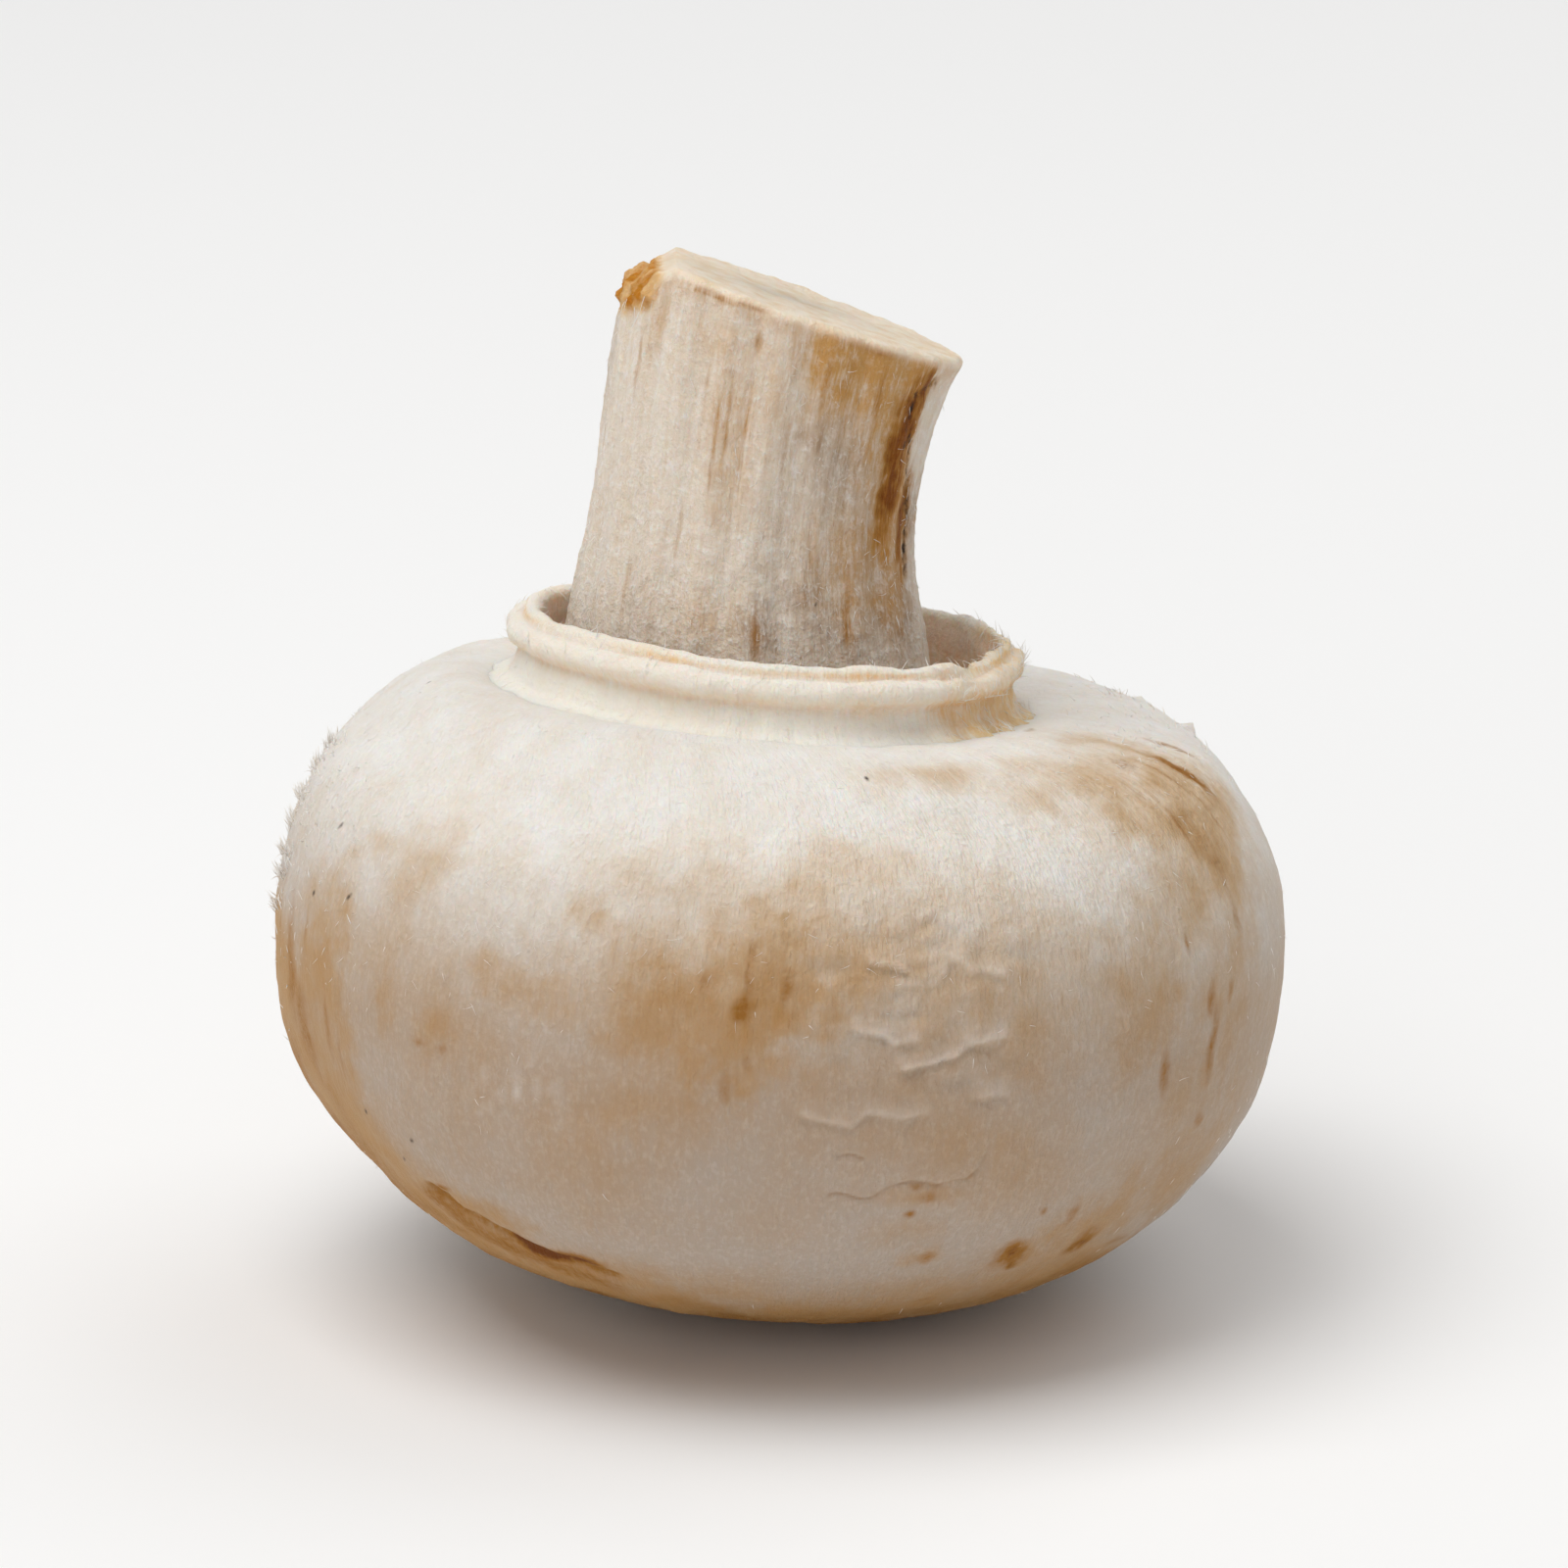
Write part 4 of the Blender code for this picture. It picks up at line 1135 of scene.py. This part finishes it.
def add_fuzz(name, skin, areas, groups):
    """Threads on a piece, in groups of: density at each corner, count, shortest and longest, half thickness,
    turn from the flow and swing round it in degrees, lowest and highest lift off the skin."""
    all_corners = []
    for density, count, lengths, thickness, heading, swing, lifts in groups:
        weights = areas * density
        roots = chance.choice(len(weights), size=count, p=weights / weights.sum())
        normal = unit(skin.normals[roots])
        round_way = np.stack([-np.sin(skin.turn[roots]), np.cos(skin.turn[roots]), np.zeros(count)], axis=1)
        down_way = unit(np.cross(round_way, normal))
        angle = np.radians(chance.normal(heading, swing, count))[:, None]
        lift = normal * chance.uniform(*lifts, (count, 1))
        way = unit(down_way * np.cos(angle) + round_way * np.sin(angle) + lift)
        side = unit(np.cross(way, normal + 0.01 * round_way))
        over = np.cross(side, way)
        long = chance.uniform(*lengths, (count, 1)) / MM
        thick = thickness * chance.uniform(0.7, 1.3, (count, 1)) / MM
        aside = chance.uniform(-ROOT_SPREAD, ROOT_SPREAD, (count, 1)) * side
        base = skin.points[roots] - normal * ROOT_SUNK + aside
        curl = chance.normal(0.0, THREAD_CURL, (count, 1))
        sag = chance.uniform(0.0, THREAD_SAG, (count, 1))
        along = THREAD_CORNERS[None, :, 2:3]
        offset = THREAD_CORNERS[None, :, 0:1] * side[:, None] + THREAD_CORNERS[None, :, 1:2] * over[:, None]
        bend = curl[:, None] * along ** 2 * side[:, None] - sag[:, None] * along ** 2 * over[:, None]
        path = base[:, None] + long[:, None] * (along * way[:, None] + bend)
        all_corners.append((path + thick[:, None] * offset).reshape(-1, 3))
    corners = np.concatenate(all_corners)
    copies = len(corners) // len(THREAD_CORNERS)
    steps = np.arange(copies)[:, None, None] * len(THREAD_CORNERS)
    faces = (THREAD_FACES[None] + steps).reshape(-1, 3)
    mesh = bpy.data.meshes.new(name)
    mesh.from_pydata(corners.tolist(), [], faces.tolist())
    piece = bpy.data.objects.new(name, mesh)
    bpy.context.scene.collection.objects.link(piece)
    mesh.shade_smooth()
    mesh.materials.append(fuzz_threads)
    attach(piece, "root")
    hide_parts("mushroom")


skin = Skin(cap, CAP_PLACE)
areas = corner_areas(cap) * (skin.points[:, 2] > 0.0015) * (skin.length > 0.4)
patchy = eased(0.45 + 1.3 * noise_at(skin.points, 190.0, (2.0, 9.0, 4.0)))
upper = eased((20.0 - skin.length) / 12.0)
TUFTS = ((820, 912), (815, 919), (810, 929), (807, 937), (805, 947), (804, 954), (803, 964))
FELT_ZONES = (
    (1.3, 878, 1022, 13, 9), (1.3, 862, 905, 45, 26), (1.3, 888, 968, 28, 24), (1.3, 940, 930, 40, 18),
    (1.3, 818, 945, 22, 36), (1.3, 1020, 945, 50, 22),
)
EDGE_ZONES = ((1.0, 814, 922, 12, 28), (0.06, 805, 975, 7, 26), (0.35, 1085, 905, 22, 12))
BACK_FELTS = 7
BACK_FELT = 0.6
BACK_EDGES = 3
BACK_EDGE = 0.35
tufts = sum(skin.near(x, y, 1.8, 1.3) for x, y in TUFTS)
felt = patchy * (0.02 + 0.60 * upper) + skin.zones(FELT_ZONES)
for _ in range(BACK_FELTS):
    felt = felt + BACK_FELT * skin.blot(chance.choice(hidden_cap), *chance.uniform(3.0, 6.5, 2))
edge_fuzz = skin.zones(EDGE_ZONES)
for _ in range(BACK_EDGES):
    edge_fuzz = edge_fuzz + BACK_EDGE * skin.blot(chance.choice(hidden_cap), *chance.uniform(3.0, 5.0, 2))
add_fuzz("cap_fuzz", skin, areas, (
    (felt, 7000, (0.20, 0.75), 0.016, 0.0, 46.0, (0.02, 0.12)),
    (felt, 1200, (0.25, 0.6), 0.016, 0.0, 80.0, (0.10, 0.40)),
    (edge_fuzz, 700, (0.20, 0.55), 0.024, 150.0, 60.0, (0.15, 1.2)),
    (tufts, 190, (0.35, 0.80), 0.034, 165.0, 24.0, (0.5, 1.5)),
    (0.02 + upper, 500, (0.15, 0.4), 0.016, 0.0, 90.0, (0.3, 1.0)),
))

CHIP_ZONES = ((1.0, 934, 752, 2.6, 1.6), (1.0, 928, 754, 2.6, 1.4), (0.4, 915, 765, 2.0, 2.0))
skin = Skin(stem, CAP_PLACE)
areas = corner_areas(stem) * (skin.length > 0.4) * (skin.length < 18.6)
low_part = 0.35 + eased((skin.length - 6.0) / 8.0)
chip_edge = skin.zones(CHIP_ZONES)
add_fuzz("stem_fuzz", skin, areas, (
    (low_part, 2400, (0.20, 0.7), 0.018, 0.0, 28.0, (0.02, 0.20)),
    (low_part, 1500, (0.12, 0.45), 0.017, 0.0, 75.0, (0.1, 0.8)),
    (eased(1.5 - skin.length / 4.0), 400, (0.3, 1.4), 0.017, 0.0, 8.0, (0.01, 0.06)),
    (chip_edge, 70, (0.15, 0.42), 0.022, 180.0, 35.0, (0.1, 0.8)),
))

skin = Skin(collar, CAP_PLACE)
areas = corner_areas(collar) * (collar_height > MARGIN_TOP - 0.0002)
foot = np.exp(-(((collar_height - MARGIN_TOP - 0.0001) / 0.0003) ** 2)) * (collar_radius > COLLAR_RADIUS)
add_fuzz("collar_fuzz", skin, areas, (
    (0.3 + on_lips, 1500, (0.12, 0.4), 0.017, 0.0, 75.0, (0.05, 0.5)),
    (0.2 + frayed, 1000, (0.3, 0.9), 0.020, 180.0, 25.0, (0.05, 0.4)),
    (foot, 900, (0.15, 0.45), 0.017, 0.0, 60.0, (0.02, 0.25)),
))

# Table and studio: a plain white table under three soft lamps, the strongest high on the left, a weak one
# behind on the right and one low in front, with pale light all round.
FLOOR_SIZE = 4.0
TABLE_WHITE = (0.91, 0.915, 0.92, 1.0)
LAMP_WARM = (1.0, 0.985, 0.965)
LAMP_PLAIN = (1.0, 0.99, 0.98)
STUDIO_LIGHT = 0.37
bpy.ops.object.select_all(action="DESELECT")
bpy.ops.mesh.primitive_plane_add(size=FLOOR_SIZE, location=(0.0, 0.0, 0.0))
table = bpy.context.object
table.name = "table"
table_paint = bpy.data.materials.new("table_paint")
table_paint.use_nodes = True
shader = table_paint.node_tree.nodes["Principled BSDF"]
shader.inputs["Base Color"].default_value = TABLE_WHITE
shader.inputs["Roughness"].default_value = 0.8
table.data.materials.append(table_paint)


def soft_lamp(name, place, size, power, colour):
    """A square lamp that faces the mushroom."""
    lamp = bpy.data.objects.new(name, bpy.data.lights.new(name, "AREA"))
    bpy.context.scene.collection.objects.link(lamp)
    lamp.location = place
    lamp.rotation_euler = (Vector(place) - VIEW_TARGET).to_track_quat("Z", "Y").to_euler()
    lamp.data.size = size
    lamp.data.energy = power
    lamp.data.color = colour


soft_lamp("key_lamp", (-0.20, -0.10, 0.63), 0.50, 2.9, LAMP_WARM)
soft_lamp("back_lamp", (0.28, 0.26, 0.46), 0.50, 0.75, LAMP_WARM)
soft_lamp("front_lamp", (-0.25, -0.75, 0.22), 0.6, 1.0, LAMP_PLAIN)
world = bpy.data.worlds.new("studio")
bpy.context.scene.world = world
world.use_nodes = True
background = world.node_tree.nodes["Background"]
background.inputs["Color"].default_value = (1.0, 1.0, 1.0, 1.0)
background.inputs["Strength"].default_value = STUDIO_LIGHT
bpy.context.scene.view_settings.view_transform = "Standard"
